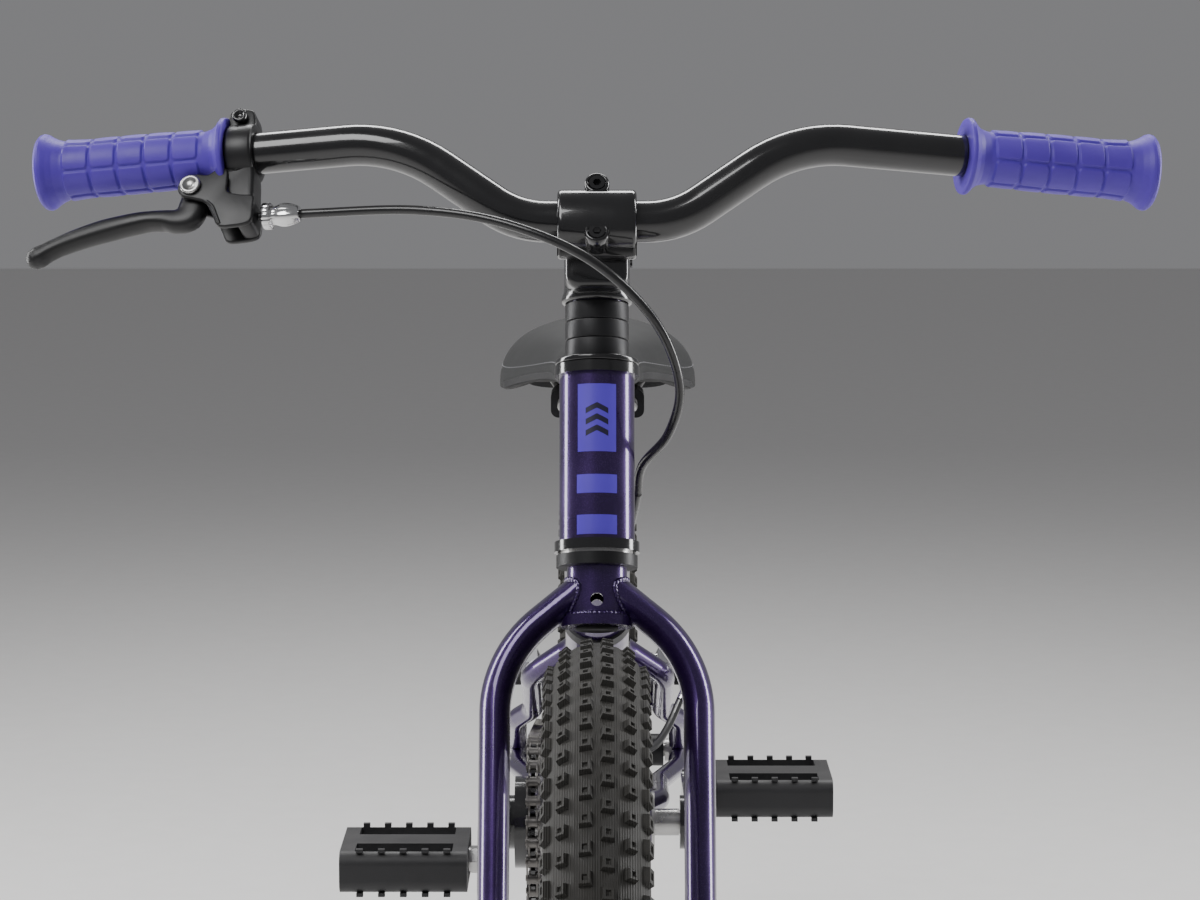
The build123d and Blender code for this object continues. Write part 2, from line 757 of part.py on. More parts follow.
upper = steering * Pos(0, 0, head_tube_length)
lower = steering * Rot(180, 0, 0)
save("headset_cups", upper * headset_cup(), lower * headset_cup())
crown_race = disc(21.5, 7.1, lower_stack - 0.1, steerer_diameter / 2 + press)
save("headset_bearings", upper * headset_bearing(), lower * headset_bearing())
save("crown_race", lower * crown_race)
cover = disc(cup_radius, 5.5 + gap, upper_stack, steerer_diameter / 2 + press)
cover -= disc(19.0 + gap, 5, 7.0 + press)
spacers = [upper * cover]
for index in range(spacer_count):
    base = upper_stack + 0.1 + index * (spacer_height + 0.05)
    spacer = disc(17, base, base + spacer_height, steerer_diameter / 2 + press)
    spacers.append(upper * spacer)
save("headset_spacers", *spacers)


def fork():
    """A fork: a steerer in a welded crown collar, with two legs that curve out and down."""
    half = fork_leg_spacing / 2
    axle = steering.to_local_coords(Vector(0, front_axle_y, axle_z))
    body = disc(steerer_diameter / 2, -crown_drop + 2, steerer_top)
    body += disc(crown_tube_diameter / 2, -crown_drop, -lower_stack)
    body += disc(crown_collar_diameter / 2, -crown_drop, -crown_drop + 5)
    peak = -lower_stack - 4.1
    slope = fork_shoulder_drop / half
    for side in (-1, 1):
        points = [
            (side * 8, 0, peak - 8 * slope),
            (side * half, 0, peak - fork_shoulder_drop),
            (side * half, axle.Y, axle.Z + 22),
        ]
        path = FilletPolyline(*points, radius=[fork_shoulder_radius])
        section = Ellipse(fork_leg_width / 2, fork_leg_depth / 2)
        place = Plane(origin=path @ 0, x_dir=(0, 0, 1), z_dir=path % 0)
        body += sweep(place * section, path=path)
    body = steering * body
    for side in (-1, 1):
        plate = Pos(0, 0, front_hub_width / 2 + 0.05) * extrude(Circle(14), dropout_thickness - 0.1)
        low = front_hub_width / 2 + 0.05
        strap = Pos(7, 20, low) * (Rot(0, 0, -16) * extrude(Rectangle(20, 36), dropout_thickness - 0.1))
        plate += strap
        reach = axle_diameter / 2 + slip
        plate -= Cylinder(reach, 300)
        plate -= block(-reach, reach, -30, 0, -150, 150)
        placed = front_axle_place * plate
        body += placed if side > 0 else mirrored(placed)
    bore = steering * disc(steerer_bore / 2, -crown_drop + 6, steerer_top + 5)
    hole_z = -crown_drop + 13
    hole = steering * rod((0, -40, hole_z), (0, 40, hole_z), crown_hole / 2)
    return body - bore - hole


save("fork", fork())

# ---------------------------------------------------------------- stem, bar and grips
faceplate_lean = 38.0
stem_width = 42.0
bar_radius = bar_diameter / 2
bolt_spread = bar_radius + 4.4
clamp_depth = bar_radius + 4.4
clamp_radius = bar_radius + 8.9
bar_axis = Vector(0, -bar_forward, bar_height)
# The clamp is drawn in a place on the bar's axis: X across, Z out through the faceplate.
face_dir = Vector(0, -cos(radians(faceplate_lean - 16)), sin(radians(faceplate_lean - 16)))
clamp_place = Plane(origin=bar_axis, x_dir=(1, 0, 0), z_dir=face_dir)
split = 1.0


def stem():
    """The stem: a clamp round the steerer, a short neck and the back half of the bar clamp."""
    body = disc(19, stem_low, stem_low + stem_height)
    back = block(-stem_width / 2, stem_width / 2, -clamp_radius, clamp_radius, -clamp_depth, -split)
    back = fillet(back.edges().filter_by(Axis.X).sort_by(Axis.Z)[:2], 12)
    body += clamp_place * back
    neck = block(-15, 15, -bar_forward + 4, 0, stem_low + 4, stem_low + stem_height - 3)
    body += neck
    body += block(-14, 14, 12, 26, stem_low + 2, stem_low + stem_height - 2)
    body -= disc(steerer_diameter / 2 + press, stem_low - 5, stem_low + stem_height + 5)
    body -= block(-1.25, 1.25, 10, 40, stem_low - 5, stem_low + stem_height + 5)
    body -= clamp_place * block(-40, 40, -60, 60, -split, 60)
    body -= clamp_place * (Rot(0, 90, 0) * Cylinder(bar_radius + press, 80))
    for place in (-bolt_spread, bolt_spread):
        body -= clamp_place * (Pos(0, place, -6) * Cylinder(2.5, 18))
    for place in (9, stem_height - 9):
        body -= rod((-30, 20, stem_low + place), (30, 20, stem_low + place), 2.5)
    return steering * body


def faceplate():
    """The front half of the bar clamp, with bosses for its two bolts."""
    plate = block(-stem_width / 2, stem_width / 2, -clamp_radius, clamp_radius, split, clamp_depth)
    plate = fillet(plate.edges().filter_by(Axis.X).sort_by(Axis.Z)[-2:], 9)
    plate -= Rot(0, 90, 0) * Cylinder(bar_radius + press, 80)
    for place in (-bolt_spread, bolt_spread):
        plate -= Pos(0, place, 0) * Cylinder(2.5, 60)
        plate -= Pos(0, place, 20) * Cylinder(4.6, 22)
    return steering * (clamp_place * plate)


def socket_bolt(length):
    """A socket-head bolt drawn with its head above the origin and its shank below."""
    bolt = disc(4.25, 0, 5) - hexagon(4, 2, 6)
    return bolt + disc(2.4, -length, 0.2)


save("stem", stem())
save("stem_faceplate", faceplate())
bolts = []
for place in (-bolt_spread, bolt_spread):
    bolts.append(steering * (clamp_place * (Pos(0, place, 9.0) * socket_bolt(22))))
for place in (9, stem_height - 9):
    pinch = Pos(14.05, 20, stem_low + place) * (Rot(0, 90, 0) * socket_bolt(26))
    bolts.append(steering * pinch)
save("stem_bolts", *bolts)
cap_low = stem_low + stem_height + 0.1
cap = disc(15.5, cap_low, cap_low + 3.5, 3.2) + disc(12.3, cap_low - 2.5, cap_low + 1, 3.2)
cap -= disc(5.2, cap_low + 1, cap_low + 10)
save("top_cap", steering * cap)
cap_bolt = Pos(0, 0, cap_low + 1.05) * (disc(4.9, 0, 3) - hexagon(5, 1, 5) + disc(3.0, -30, 0.2))
star_nut = disc(steerer_bore / 2 - press, cap_low - 24, cap_low - 20, 3.05)
save("top_cap_bolt", steering * cap_bolt, steering * star_nut)

bar_end = Vector(bar_half_width - 3, 0, 0)
bar_end += Vector(0, -bar_forward + bar_sweep, bar_height + bar_rise - bar_drop)
bar_corner = Vector(bar_outer_corner, -bar_forward, bar_height + bar_rise)


def handlebar():
    """A riser bar: flat in the clamp, bent up, then swept back to each grip."""
    centre = Vector(bar_inner_corner, -bar_forward, bar_height)
    points = [Vector(-p.X, p.Y, p.Z) for p in (bar_end, bar_corner, centre)]
    points += [centre, bar_corner, bar_end]
    path = FilletPolyline(*points, radius=[80, 50, 50, 80])
    section = Circle(bar_radius) - Circle(bar_radius - bar_wall)
    bar = sweep(Plane(origin=path @ 0, z_dir=path % 0) * section, path=path)
    return steering * bar


save("handlebar", handlebar())
grip_start = steering.from_local_coords(bar_corner)
grip_tip = steering.from_local_coords(bar_end)
grip_dir = (grip_tip - grip_start).normalized()
# On the rider's left end of the bar: Z points out along the bar, from its tip.
grip_place = Plane(origin=grip_tip, x_dir=(0, 1, 0), z_dir=grip_dir)


def grip():
    """A rubber grip: a closed end, a slightly barrelled body and an inner flange."""
    radius = grip_diameter / 2
    body = turned(
        (0, 3), (radius + 0.5, 3), (radius + 1.5, 0), (radius, -8), (radius + 0.4, -50),
        (radius - 0.2, -grip_length + 12), (grip_flange / 2, -grip_length + 7),
        (grip_flange / 2, -grip_length + 3), (0, -grip_length + 3),
    )
    return grip_place * (body - disc(bar_radius + press, -grip_length, 0.1))


save("grip_left", grip())
save("grip_right", mirrored(grip()))

# ---------------------------------------------------------------- brake lever
perch_inboard = grip_length + 3.5
right_tip = Vector(-grip_tip.X, grip_tip.Y, grip_tip.Z)
right_dir = Vector(-grip_dir.X, grip_dir.Y, grip_dir.Z)
perch_centre = right_tip - right_dir * perch_inboard
drop = Vector(0, -cos(radians(lever_tilt)), -sin(radians(lever_tilt)))
drop = (drop - right_dir * drop.dot(right_dir)).normalized()
# X runs out along the bar, Y from the bar towards the lever, Z along the pivot.
lever_place = Plane(origin=perch_centre, x_dir=right_dir, z_dir=right_dir.cross(drop))
pivot_out = 24.0
clamp_bolt_drop = bar_radius + 7.4
blade_half = 6.0
pivot_radius = 3.0
fork_half = 9.5


def perch():
    """The lever's perch: a split clamp on the bar, a forked arm and the cable's boss."""
    body = Rot(0, 90, 0) * Cylinder(bar_radius + 4.0, 12)
    arm = [(-8, 12), (-8, 46), (10, 46), (31, 33), (31, 17.5), (12, 21.5), (5.5, 21.5), (5.5, 12)]
    body += extrude(make_face(Polyline(*arm, close=True)), fork_half, both=True)
    body += Pos(0, lever_cable_drop, 0) * (Rot(0, 90, 0) * Pos(0, 0, -6) * Cylinder(6, 16))
    body += block(-6, 6, -clamp_bolt_drop - 5.5, -10, -7, 7)
    body -= Rot(0, 90, 0) * Cylinder(bar_radius + press, 60)
    body -= block(-20, 20, -40, 0, -0.8, 0.8)
    body -= block(-1, 60, 17, 60, -blade_half - gap, blade_half + gap)
    body -= rod((-20, lever_cable_drop, 0), (0, lever_cable_drop, 0), 3.5)
    body -= rod((pivot_out, lever_pivot_drop, -20), (pivot_out, lever_pivot_drop, 20), pivot_radius + press)
    body -= rod((0, -clamp_bolt_drop, -20), (0, -clamp_bolt_drop, 20), 2.5)
    return lever_place * body


def lever():
    """The blade: an eye on the pivot, a cable seat and a long blade to a ball tip."""
    outline = [
        (pivot_out - 7, lever_pivot_drop - 5), (pivot_out - 8, lever_cable_drop + 5),
        (pivot_out + 4, lever_cable_drop + 6), (52, 41), (80, 44), (106, 54),
        (108, 48), (80, 35), (52, 31), (pivot_out + 8, lever_pivot_drop - 4),
    ]
    body = extrude(make_face(Polyline(*outline, close=True)), blade_half, both=True)
    body += Pos(109, 51.5, 0) * Sphere(6.5)
    body -= rod((pivot_out, lever_pivot_drop, -20), (pivot_out, lever_pivot_drop, 20), pivot_radius + running)
    body -= block(0, pivot_out, lever_cable_drop - 2, lever_cable_drop + 2, -1.5, 1.5)
    return lever_place * body


save("brake_perch", perch())
save("brake_lever", lever())
bolt_low = (pivot_out, lever_pivot_drop, -fork_half - 1)
bolt_seat = (pivot_out, lever_pivot_drop, fork_half + 0.05)
bolt_neck = (pivot_out, lever_pivot_drop, fork_half + 2)
bolt_top = (pivot_out, lever_pivot_drop, fork_half + 3)
pivot_bolt = rod(bolt_low, bolt_neck, pivot_radius) + rod(bolt_seat, bolt_top, 5)
clamp_bolt = Pos(0, -clamp_bolt_drop, 7.05) * socket_bolt(13)
save("lever_bolts", lever_place * pivot_bolt, lever_place * clamp_bolt)
adjuster = rod((-34, lever_cable_drop, 0), (-14.2, lever_cable_drop, 0), 4.5)
adjuster += rod((-20, lever_cable_drop, 0), (-14.2, lever_cable_drop, 0), 6.0)
adjuster += rod((-15, lever_cable_drop, 0), (-2, lever_cable_drop, 0), 3.4)
adjuster -= rod((-36, lever_cable_drop, 0), (-26, lever_cable_drop, 0), cable_diameter / 2 + slip)
adjuster -= rod((-36, lever_cable_drop, 0), (0, lever_cable_drop, 0), 1.0)
save("barrel_adjuster", lever_place * adjuster)

# ---------------------------------------------------------------- brake cable
cable_start = lever_place.from_local_coords(Vector(-26.3, lever_cable_drop, 0))
cable_leave = lever_place.from_local_coords(Vector(-58, lever_cable_drop, 0))
tube_start = steering_point(0, 0, lower_joint)
tube_along = (Vector(0, bottom_bracket_y, bottom_bracket_z) - tube_start).normalized()
tube_side = Vector(15, -15.2 * tube_along.Z, 15.2 * tube_along.Y)
clip_low = tube_start + tube_along * 105 + tube_side
clip_high = tube_start + tube_along * 320 + tube_side
housing_joint = Vector(22, -234, 470)
joint_run = clip_low - housing_joint
front_route = [
    cable_start,
    cable_leave,
    Vector(-94, -296, 626),
    Vector(-48, -312, 620),
    Vector(-4, -321, 602),
    Vector(29, -316, 571),
    Vector(43, -300, 536),
    Vector(38, -282, 508),
    housing_joint - joint_run * 0.30,
    housing_joint,
]
rear_route = [
    housing_joint + joint_run.normalized() * 0.1,
    clip_low,
    clip_high,
    Vector(26, 56, 268),
    Vector(38, 90, 268),
    Vector(46, 122, 274),
    Vector(53, 150, 284),
]
save("brake_housing_front", cord("front housing", front_route, cable_diameter / 2))
save("brake_housing_rear", cord("rear housing", rear_route, cable_diameter / 2))


def cable_clip(share):
    """A band round the down tube with an eye for the housing."""
    along = tube_along
    eye = clip_low + (clip_high - clip_low) * share
    foot = eye - tube_side
    place = Plane(origin=foot, z_dir=along)
    band = place * disc(down_tube_diameter / 2 + 1.8, -4, 4)
    band += rod(eye - along * 4, eye + along * 4, cable_diameter / 2 + 1.6)
    band -= place * disc(down_tube_diameter / 2 + press, -9, 9)
    return band - rod(eye - along * 9, eye + along * 9, cable_diameter / 2 + 0.05)


save("cable_clips", *[cable_clip(share) for share in (0.2, 0.5, 0.8)])

# ---------------------------------------------------------------- rear brake
half_boss = brake_boss_spacing / 2
arm_top = 86.0
arm_middle = (arm_low + arm_high) / 2
pad_out = 25.0
pad_clear = 1.3
wire_height = arm_top - 6


def brake_arm(side):
    """One linear-pull arm: an eye on the boss, a slot for the pad and a head for the cable."""
    x = side * half_boss
    lean = side * 6.0
    outline = [(x - 9, -6), (x + 9, -6), (x + 6 + lean, arm_top), (x - 6 + lean, arm_top)]
    arm = extrude(make_face(Polyline(*outline, close=True)), arm_high - arm_low)
    arm += extrude(Pos(x, 0) * Circle(11), arm_high - arm_low)
    arm = Pos(0, 0, arm_low) * arm
    arm -= Pos(x, 0, arm_middle) * Cylinder(pin_radius + running, 40)
    arm -= rod((x - 40, pad_out, arm_middle), (x + 40, pad_out, arm_middle), 3.2)
    hole = cable_diameter / 2 + gap
    arm -= rod((x - 40, wire_height, arm_middle), (x + 40, wire_height, arm_middle), hole)
    return brake_place * arm


def brake_pad(side):
    """A curved pad that follows the rim, with its post through the arm's slot."""
    middle = brake_point(0, pad_out, arm_middle)
    angle = atan2(middle.Z - axle_z, middle.Y - rear_axle_y)
    reach = hypot(middle.Z - axle_z, middle.Y - rear_axle_y)
    arc = Rot(0, 0, degrees(angle))
    ring = extrude(Circle(reach + 4.5) - Circle(reach - 4.5), 9)
    ring &= arc * (Pos(reach, 0, 4.5) * Box(60, 52, 9))
    face = rim_width / 2 + pad_clear
    pad = rear_axle_place * (Pos(0, 0, face) * ring)
    pad = pad if side < 0 else mirrored(pad)
    inner = brake_point(side * (face + 8), pad_out, arm_middle)
    outer = brake_point(side * (half_boss + 18), pad_out, arm_middle)
    post = rod(inner, outer, 3.0)
    nut_start = brake_point(side * (half_boss + 10.8), pad_out, arm_middle)
    seat_start = brake_point(side * (half_boss - 9.2), pad_out, arm_middle)
    seat_end = brake_point(side * (half_boss - 12.5), pad_out, arm_middle)
    return pad + post + rod(nut_start, outer, 5.0) + rod(seat_start, seat_end, 6.5)


# The rider's left is side -1 in the brake's place, because its X points to the rider's right.
save("brake_arm_left", brake_arm(-1))
save("brake_arm_right", brake_arm(1))
save("brake_pad_left", brake_pad(-1))
save("brake_pad_right", brake_pad(1))
pivot_bolts = []
for side in (-1, 1):
    low = brake_point(side * half_boss, 0, pin_top + 0.05)
    high = brake_point(side * half_boss, 0, pin_top + 4)
    pivot_bolts.append(rod(low, high, 6.0))
save("brake_pivot_bolts", *pivot_bolts)

arm_edge = half_boss + 6 * wire_height / arm_top
noodle_leave = (rear_route[-1] - rear_route[-2]).normalized()
noodle_gap = 1.9
noodle_route = [
    rear_route[-1] + noodle_leave * noodle_gap,
    rear_route[-1] + noodle_leave * 18,
    brake_point(-arm_edge - 19, wire_height + 5, arm_middle - 3),
    brake_point(-arm_edge - 14, wire_height, arm_middle),
    brake_point(-arm_edge + 7.5, wire_height, arm_middle),
]
save("noodle", cord("noodle", noodle_route, cable_diameter / 2))
wire_start = brake_point(-arm_edge + 7.6, wire_height, arm_middle)
wire_end = brake_point(arm_edge + 14, wire_height, arm_middle)
save("straddle_wire", rod(wire_start, wire_end, 0.8))
boot_start = brake_point(-arm_edge + 9.0, wire_height, arm_middle)
boot_end = brake_point(-arm_edge + 34, wire_height, arm_middle)
boot = rod(boot_start, boot_end, 3.6) - rod(wire_start, wire_end, 0.9)
save("cable_boot", boot)

# ---------------------------------------------------------------- seat
seat_top_along = seat_tube_length
clamp_height = 14.0
post_top = seat_tube_length + 70.0


def seat_clamp():
    """A split collar with its bolt behind the seat tube."""
    low = seat_top_along - clamp_height + 1
    collar = disc(19.2, low, low + clamp_height, seat_tube_diameter / 2 + press)
    collar += block(-8, 8, 17, 27, low, low + clamp_height)
    collar -= Cylinder(seat_tube_diameter / 2 + press, 2000)
    collar -= block(-1.0, 1.0, 10, 40, low - 5, low + 30)
    collar -= rod((-20, 22, low + 7), (20, 22, low + 7), 2.5)
    bolt = Pos(8.05, 22, low + 7) * (Rot(0, 90, 0) * socket_bolt(15))
    return seat_place * collar, seat_place * bolt


def seat_post():
    """A straight post that slides in the seat tube."""
    post = disc(seat_post_diameter / 2, post_top - seat_post_length, post_top)
    hollow = disc(seat_post_diameter / 2 - 2.2, post_top - seat_post_length - 5, post_top - 12)
    return seat_place * (post - hollow)


save("seat_clamp", *seat_clamp())
save("seat_post", seat_post())

saddle_ahead = 149.0
saddle_length = 235.0
saddle_front = seat_tube_point(saddle_height)[1] - saddle_ahead
saddle_back = saddle_front + saddle_length
saddle_width = 130.0
post_head = seat_place.from_local_coords(Vector(0, 0, post_top))
rail_z = post_head.Z + 9.0
rail_half = 22.0


def saddle_clamp():
    """The clamp that grips both rails and the top of the post."""
    centre = post_head.Y
    body = block(-30, 30, centre - 16, centre + 16, rail_z - 10, rail_z + 8)
    body = fillet(body.edges().filter_by(Axis.Y), 5)
    body += rod(post_head - seat_dir * 24, post_head + seat_dir * 8, 18.5)
    body -= rod(post_head - seat_dir * 40, post_head + seat_dir * 0.1, seat_post_diameter / 2 + press)
    for side in (-1, 1):
        x = side * rail_half
        body -= rod((x, centre - 40, rail_z), (x, centre + 40, rail_z), 3.5 + press)
    return body


def saddle_rails():
    """Two bent steel rails that end in the base's sockets."""
    pieces = []
    for side in (-1, 1):
        points = [
            (side * 12, saddle_front + 38, rail_z + 16),
            (side * rail_half, saddle_front + 82, rail_z),
            (side * rail_half, saddle_back - 66, rail_z),
            (side * 34, saddle_back - 26, rail_z + 14),
        ]
        pieces.append(sweep_round(points, 3.5, 30))
    return pieces


def saddle_plan(shrink):
    """The saddle's outline from above: a round nose that widens to a broad back."""
    half = saddle_width / 2 - shrink
    nose = 24.0 - shrink
    front = saddle_front + shrink
    back = saddle_back - shrink
    right = Spline(
        (0, front), (nose, front + 22), (nose + 8, front + 80), (half - 6, back - 78),
        (half - 1.5, back - 44), (half - 22, back - 8), (0, back),
        tangents=[(1, 0), (-1, 0)],
    )
    left = mirror(right, about=Plane.YZ)
    return make_face(Curve() + [right, left])


def saddle_body(low, high, shrink):
    """A layer of the saddle between two heights at its edge, domed across."""
    plan = extrude(Pos(0, 0, 300) * saddle_plan(shrink), 300)
    dome = 118.0
    rise = dome - sqrt(dome**2 - (saddle_width / 2) ** 2)
    centre = (saddle_front + saddle_back) / 2
    outer = Pos(0, centre, high - dome) * (Rot(90, 0, 0) * Cylinder(dome, 400))
    inner = Pos(0, centre, low - dome) * (Rot(90, 0, 0) * Cylinder(dome, 400))
    return plan & (outer - inner) & block(-90, 90, 0, 300, high - rise - 24, high + 5)


save("saddle_clamp", saddle_clamp())
base_top = saddle_height - 22.0
base_low = base_top - 4.0
pad = saddle_body(base_top + gap, saddle_height, 0.0)
base = saddle_body(base_low, base_top, 3.0)
for side in (-1, 1):
    front_socket = Pos(side * 12, saddle_front + 34, rail_z + 17) * Box(14, 22, 14)
    back_socket = Pos(side * 34, saddle_back - 22, rail_z + 14) * Box(16, 22, 14)
    base += front_socket + back_socket
rails = saddle_rails()
base -= saddle_body(base_top, saddle_height, 0.0)
for rail in rails:
    base -= rail
save("saddle_pad", pad)
save("saddle_base", base.solids().sort_by(SortBy.VOLUME)[-1])
save("saddle_rails", *rails)
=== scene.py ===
# %% [markdown]
# # A children's BMX bike
# The bike's frame, joints and metal parts arrive as a finished model, in metres: X to the rider's
# left, Y to the back, Z up. This lesson adds what a maker sees last: the knobbly tyres, the waffle
# grips, the padded saddle, the brake cable's loop, welds, stickers and every material.

# %% Load the model
from math import cos, pi, radians, sin, sqrt

import bpy
import numpy as np
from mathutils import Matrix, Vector


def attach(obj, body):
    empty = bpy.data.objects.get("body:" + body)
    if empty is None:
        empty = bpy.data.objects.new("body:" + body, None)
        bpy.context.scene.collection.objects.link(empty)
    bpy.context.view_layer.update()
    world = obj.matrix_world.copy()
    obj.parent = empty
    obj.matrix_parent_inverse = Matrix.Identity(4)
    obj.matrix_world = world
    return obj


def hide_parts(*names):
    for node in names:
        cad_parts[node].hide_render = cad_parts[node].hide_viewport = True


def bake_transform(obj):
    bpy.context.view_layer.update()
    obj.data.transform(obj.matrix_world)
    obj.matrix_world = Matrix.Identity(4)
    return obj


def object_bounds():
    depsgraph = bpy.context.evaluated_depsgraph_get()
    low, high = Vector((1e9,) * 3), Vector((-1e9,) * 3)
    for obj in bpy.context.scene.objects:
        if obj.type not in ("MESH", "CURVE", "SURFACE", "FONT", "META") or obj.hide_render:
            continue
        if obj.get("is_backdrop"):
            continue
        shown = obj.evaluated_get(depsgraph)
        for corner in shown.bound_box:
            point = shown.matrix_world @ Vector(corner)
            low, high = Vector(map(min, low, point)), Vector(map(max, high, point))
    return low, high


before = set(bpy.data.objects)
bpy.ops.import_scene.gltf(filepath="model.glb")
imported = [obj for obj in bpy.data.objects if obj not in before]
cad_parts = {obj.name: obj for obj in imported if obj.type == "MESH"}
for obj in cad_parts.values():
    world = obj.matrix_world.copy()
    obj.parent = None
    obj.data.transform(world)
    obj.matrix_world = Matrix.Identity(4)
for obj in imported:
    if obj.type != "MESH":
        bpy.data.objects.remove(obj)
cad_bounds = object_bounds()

mm = 0.001

# %% [markdown]
# ## Camera
# A long lens stands a little above the bar, 1.6 metres ahead of the front wheel, and looks a little
# down. The upper half of the bike fills the picture and the wheel runs out of its lower edge.

# %% Place the camera
camera_data = bpy.data.cameras.new("camera")
camera_data.lens = 110
camera_data.sensor_width = 36
camera = bpy.data.objects.new("camera", camera_data)
camera.location = (0.0016, -2.205, 0.718)
camera.rotation_euler = (radians(90 - 6.5), 0, 0)
bpy.context.scene.collection.objects.link(camera)
bpy.context.scene.camera = camera
print("camera height", camera.location.z)

# %% [markdown]
# ## Driving places
# The steering axis leans back 16 degrees. A point on it is given as (across, back, up the steerer),
# and a point on a bar end as a distance along the bar. Sizes that the model fixes are repeated here.

# %% Name the places
head_lean = radians(16)
head_foot = np.array([0, -286.0, 450.0])
steer_up = np.array([0, sin(head_lean), cos(head_lean)])
steer_back = np.array([0, cos(head_lean), -sin(head_lean)])
across = np.array([1.0, 0, 0])
front_axle = np.array([0, -385.0, 206.5])
rear_axle = np.array([0, 385.0, 206.5])
bracket = np.array([0, 75.88, 221.0])


def on_steerer(x, back, up):
    """A point in millimetres: head_foot + x across + back steer_back + up steer_up."""
    return head_foot + x * across + back * steer_back + up * steer_up


def unit(vector):
    """A vector divided by its own length."""
    return np.asarray(vector, float) / np.linalg.norm(vector)


print("stem sits at", np.round(on_steerer(0, 0, 150), 1))


# %% [markdown]
# ## Mesh helpers
# A grid of points becomes quads, closed round either way. Meshes are drawn in millimetres in the
# bike's own frame, so every finished piece stands at the origin, unrotated and unscaled.

# %% Helpers for meshes
def grid_faces(rows, columns, wrap_rows, wrap_columns, start=0):
    """Quads (i, j), (i+1, j), (i+1, j+1), (i, j+1) of a rows by columns grid of points."""
    faces = []
    for i in range(rows if wrap_rows else rows - 1):
        for j in range(columns if wrap_columns else columns - 1):
            a = start + i * columns + j
            b = start + ((i + 1) % rows) * columns + j
            c = start + ((i + 1) % rows) * columns + (j + 1) % columns
            d = start + i * columns + (j + 1) % columns
            faces.append((a, b, c, d))
    return faces


def mesh_object(name, points, faces, material, body=None, smooth=True, flip=False):
    """A mesh from points in millimetres, with its material, riding on a body of the model."""
    mesh = bpy.data.meshes.new(name)
    if flip:
        faces = [tuple(reversed(face)) for face in faces]
    mesh.from_pydata([tuple(p) for p in np.asarray(points) * mm], [], faces)
    mesh.polygons.foreach_set("use_smooth", [smooth] * len(mesh.polygons))
    mesh.materials.append(material)
    mesh.update()
    obj = bpy.data.objects.new(name, mesh)
    bpy.context.scene.collection.objects.link(obj)
    if body:
        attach(obj, body)
    return obj


def carried_rings(path, radii, sides, closed=False):
    """Rings r (cos a, sin a) in planes across a path, turned as little as possible between points."""
    path = np.asarray(path, float)
    count = len(path)
    if closed:
        tangents = np.roll(path, -1, axis=0) - np.roll(path, 1, axis=0)
    else:
        tangents = np.gradient(path, axis=0)
    tangents /= np.linalg.norm(tangents, axis=1)[:, None]
    side = np.cross(tangents[0], [0.3, 0.2, 1.0])
    side = unit(side)
    angles = np.linspace(0, 2 * pi, sides, endpoint=False)
    rings = []
    for i in range(count):
        side = unit(side - tangents[i] * np.dot(side, tangents[i]))
        other = np.cross(tangents[i], side)
        ring = path[i] + radii[i] * (np.outer(np.cos(angles), side) + np.outer(np.sin(angles), other))
        rings.append(ring)
    return np.concatenate(rings)


def smooth_curve(points, step):
    """Uniform Catmull-Rom pieces through the points, sampled about every step millimetres."""
    points = np.asarray(points, float)
    padded = np.vstack([2 * points[0] - points[1], points, 2 * points[-1] - points[-2]])
    out = []
    for p0, p1, p2, p3 in zip(padded, padded[1:], padded[2:], padded[3:]):
        count = max(2, int(np.linalg.norm(p2 - p1) / step))
        for t in np.linspace(0, 1, count, endpoint=False):
            a = 2 * p1 + (p2 - p0) * t
            b = (2 * p0 - 5 * p1 + 4 * p2 - p3) * t**2
            c = (3 * p1 - p0 - 3 * p2 + p3) * t**3
            out.append(0.5 * (a + b + c))
    out.append(points[-1])
    return np.array(out)


def smoothstep(edge0, edge1, value):
    """3t^2 - 2t^3 with t the value's clamped place between the two edges."""
    t = np.clip((value - edge0) / (edge1 - edge0), 0, 1)
    return t * t * (3 - 2 * t)


print("helpers ready")

# %% [markdown]
# ## Shared marks
# Real surfaces are never one flat colour. One node group gives every material the same kinds of
# marks: a fine grain, broad cloudy patches, and a mask of dust that settles where a face looks up.

# %% Build the shared node group
def marks_group():
    """Grain and patches from Object coordinates; dust = patches x the upward part of the normal."""
    group = bpy.data.node_groups.new("marks", "ShaderNodeTree")
    for name in ("Grain", "Patch", "Dust"):
        group.interface.new_socket(name=name, in_out="OUTPUT", socket_type="NodeSocketFloat")
    size = group.interface.new_socket(name="Size", in_out="INPUT", socket_type="NodeSocketFloat")
    size.default_value = 1.0
    nodes, links = group.nodes, group.links
    given = nodes.new("NodeGroupInput")
    result = nodes.new("NodeGroupOutput")
    place = nodes.new("ShaderNodeTexCoord")
    sized = nodes.new("ShaderNodeVectorMath")
    sized.operation = "SCALE"
    links.new(place.outputs["Object"], sized.inputs[0])
    links.new(given.outputs["Size"], sized.inputs["Scale"])
    for name, scale, detail in (("Grain", 1400, 4), ("Patch", 38, 6)):
        noise = nodes.new("ShaderNodeTexNoise")
        noise.inputs["Scale"].default_value = scale
        noise.inputs["Detail"].default_value = detail
        links.new(sized.outputs[0], noise.inputs["Vector"])
        links.new(noise.outputs["Fac"], result.inputs[name])
        if name == "Patch":
            patch = noise
    normal = nodes.new("ShaderNodeNewGeometry")
    split = nodes.new("ShaderNodeSeparateXYZ")
    links.new(normal.outputs["Normal"], split.inputs[0])
    upward = nodes.new("ShaderNodeMapRange")
    upward.inputs["From Min"].default_value = 0.35
    upward.inputs["From Max"].default_value = 1.0
    links.new(split.outputs["Z"], upward.inputs["Value"])
    settled = nodes.new("ShaderNodeMath")
    settled.operation = "MULTIPLY"
    links.new(upward.outputs["Result"], settled.inputs[0])
    links.new(patch.outputs["Fac"], settled.inputs[1])
    links.new(settled.outputs[0], result.inputs["Dust"])
    return group


marks = marks_group()
print("marks group:", len(marks.nodes), "nodes")

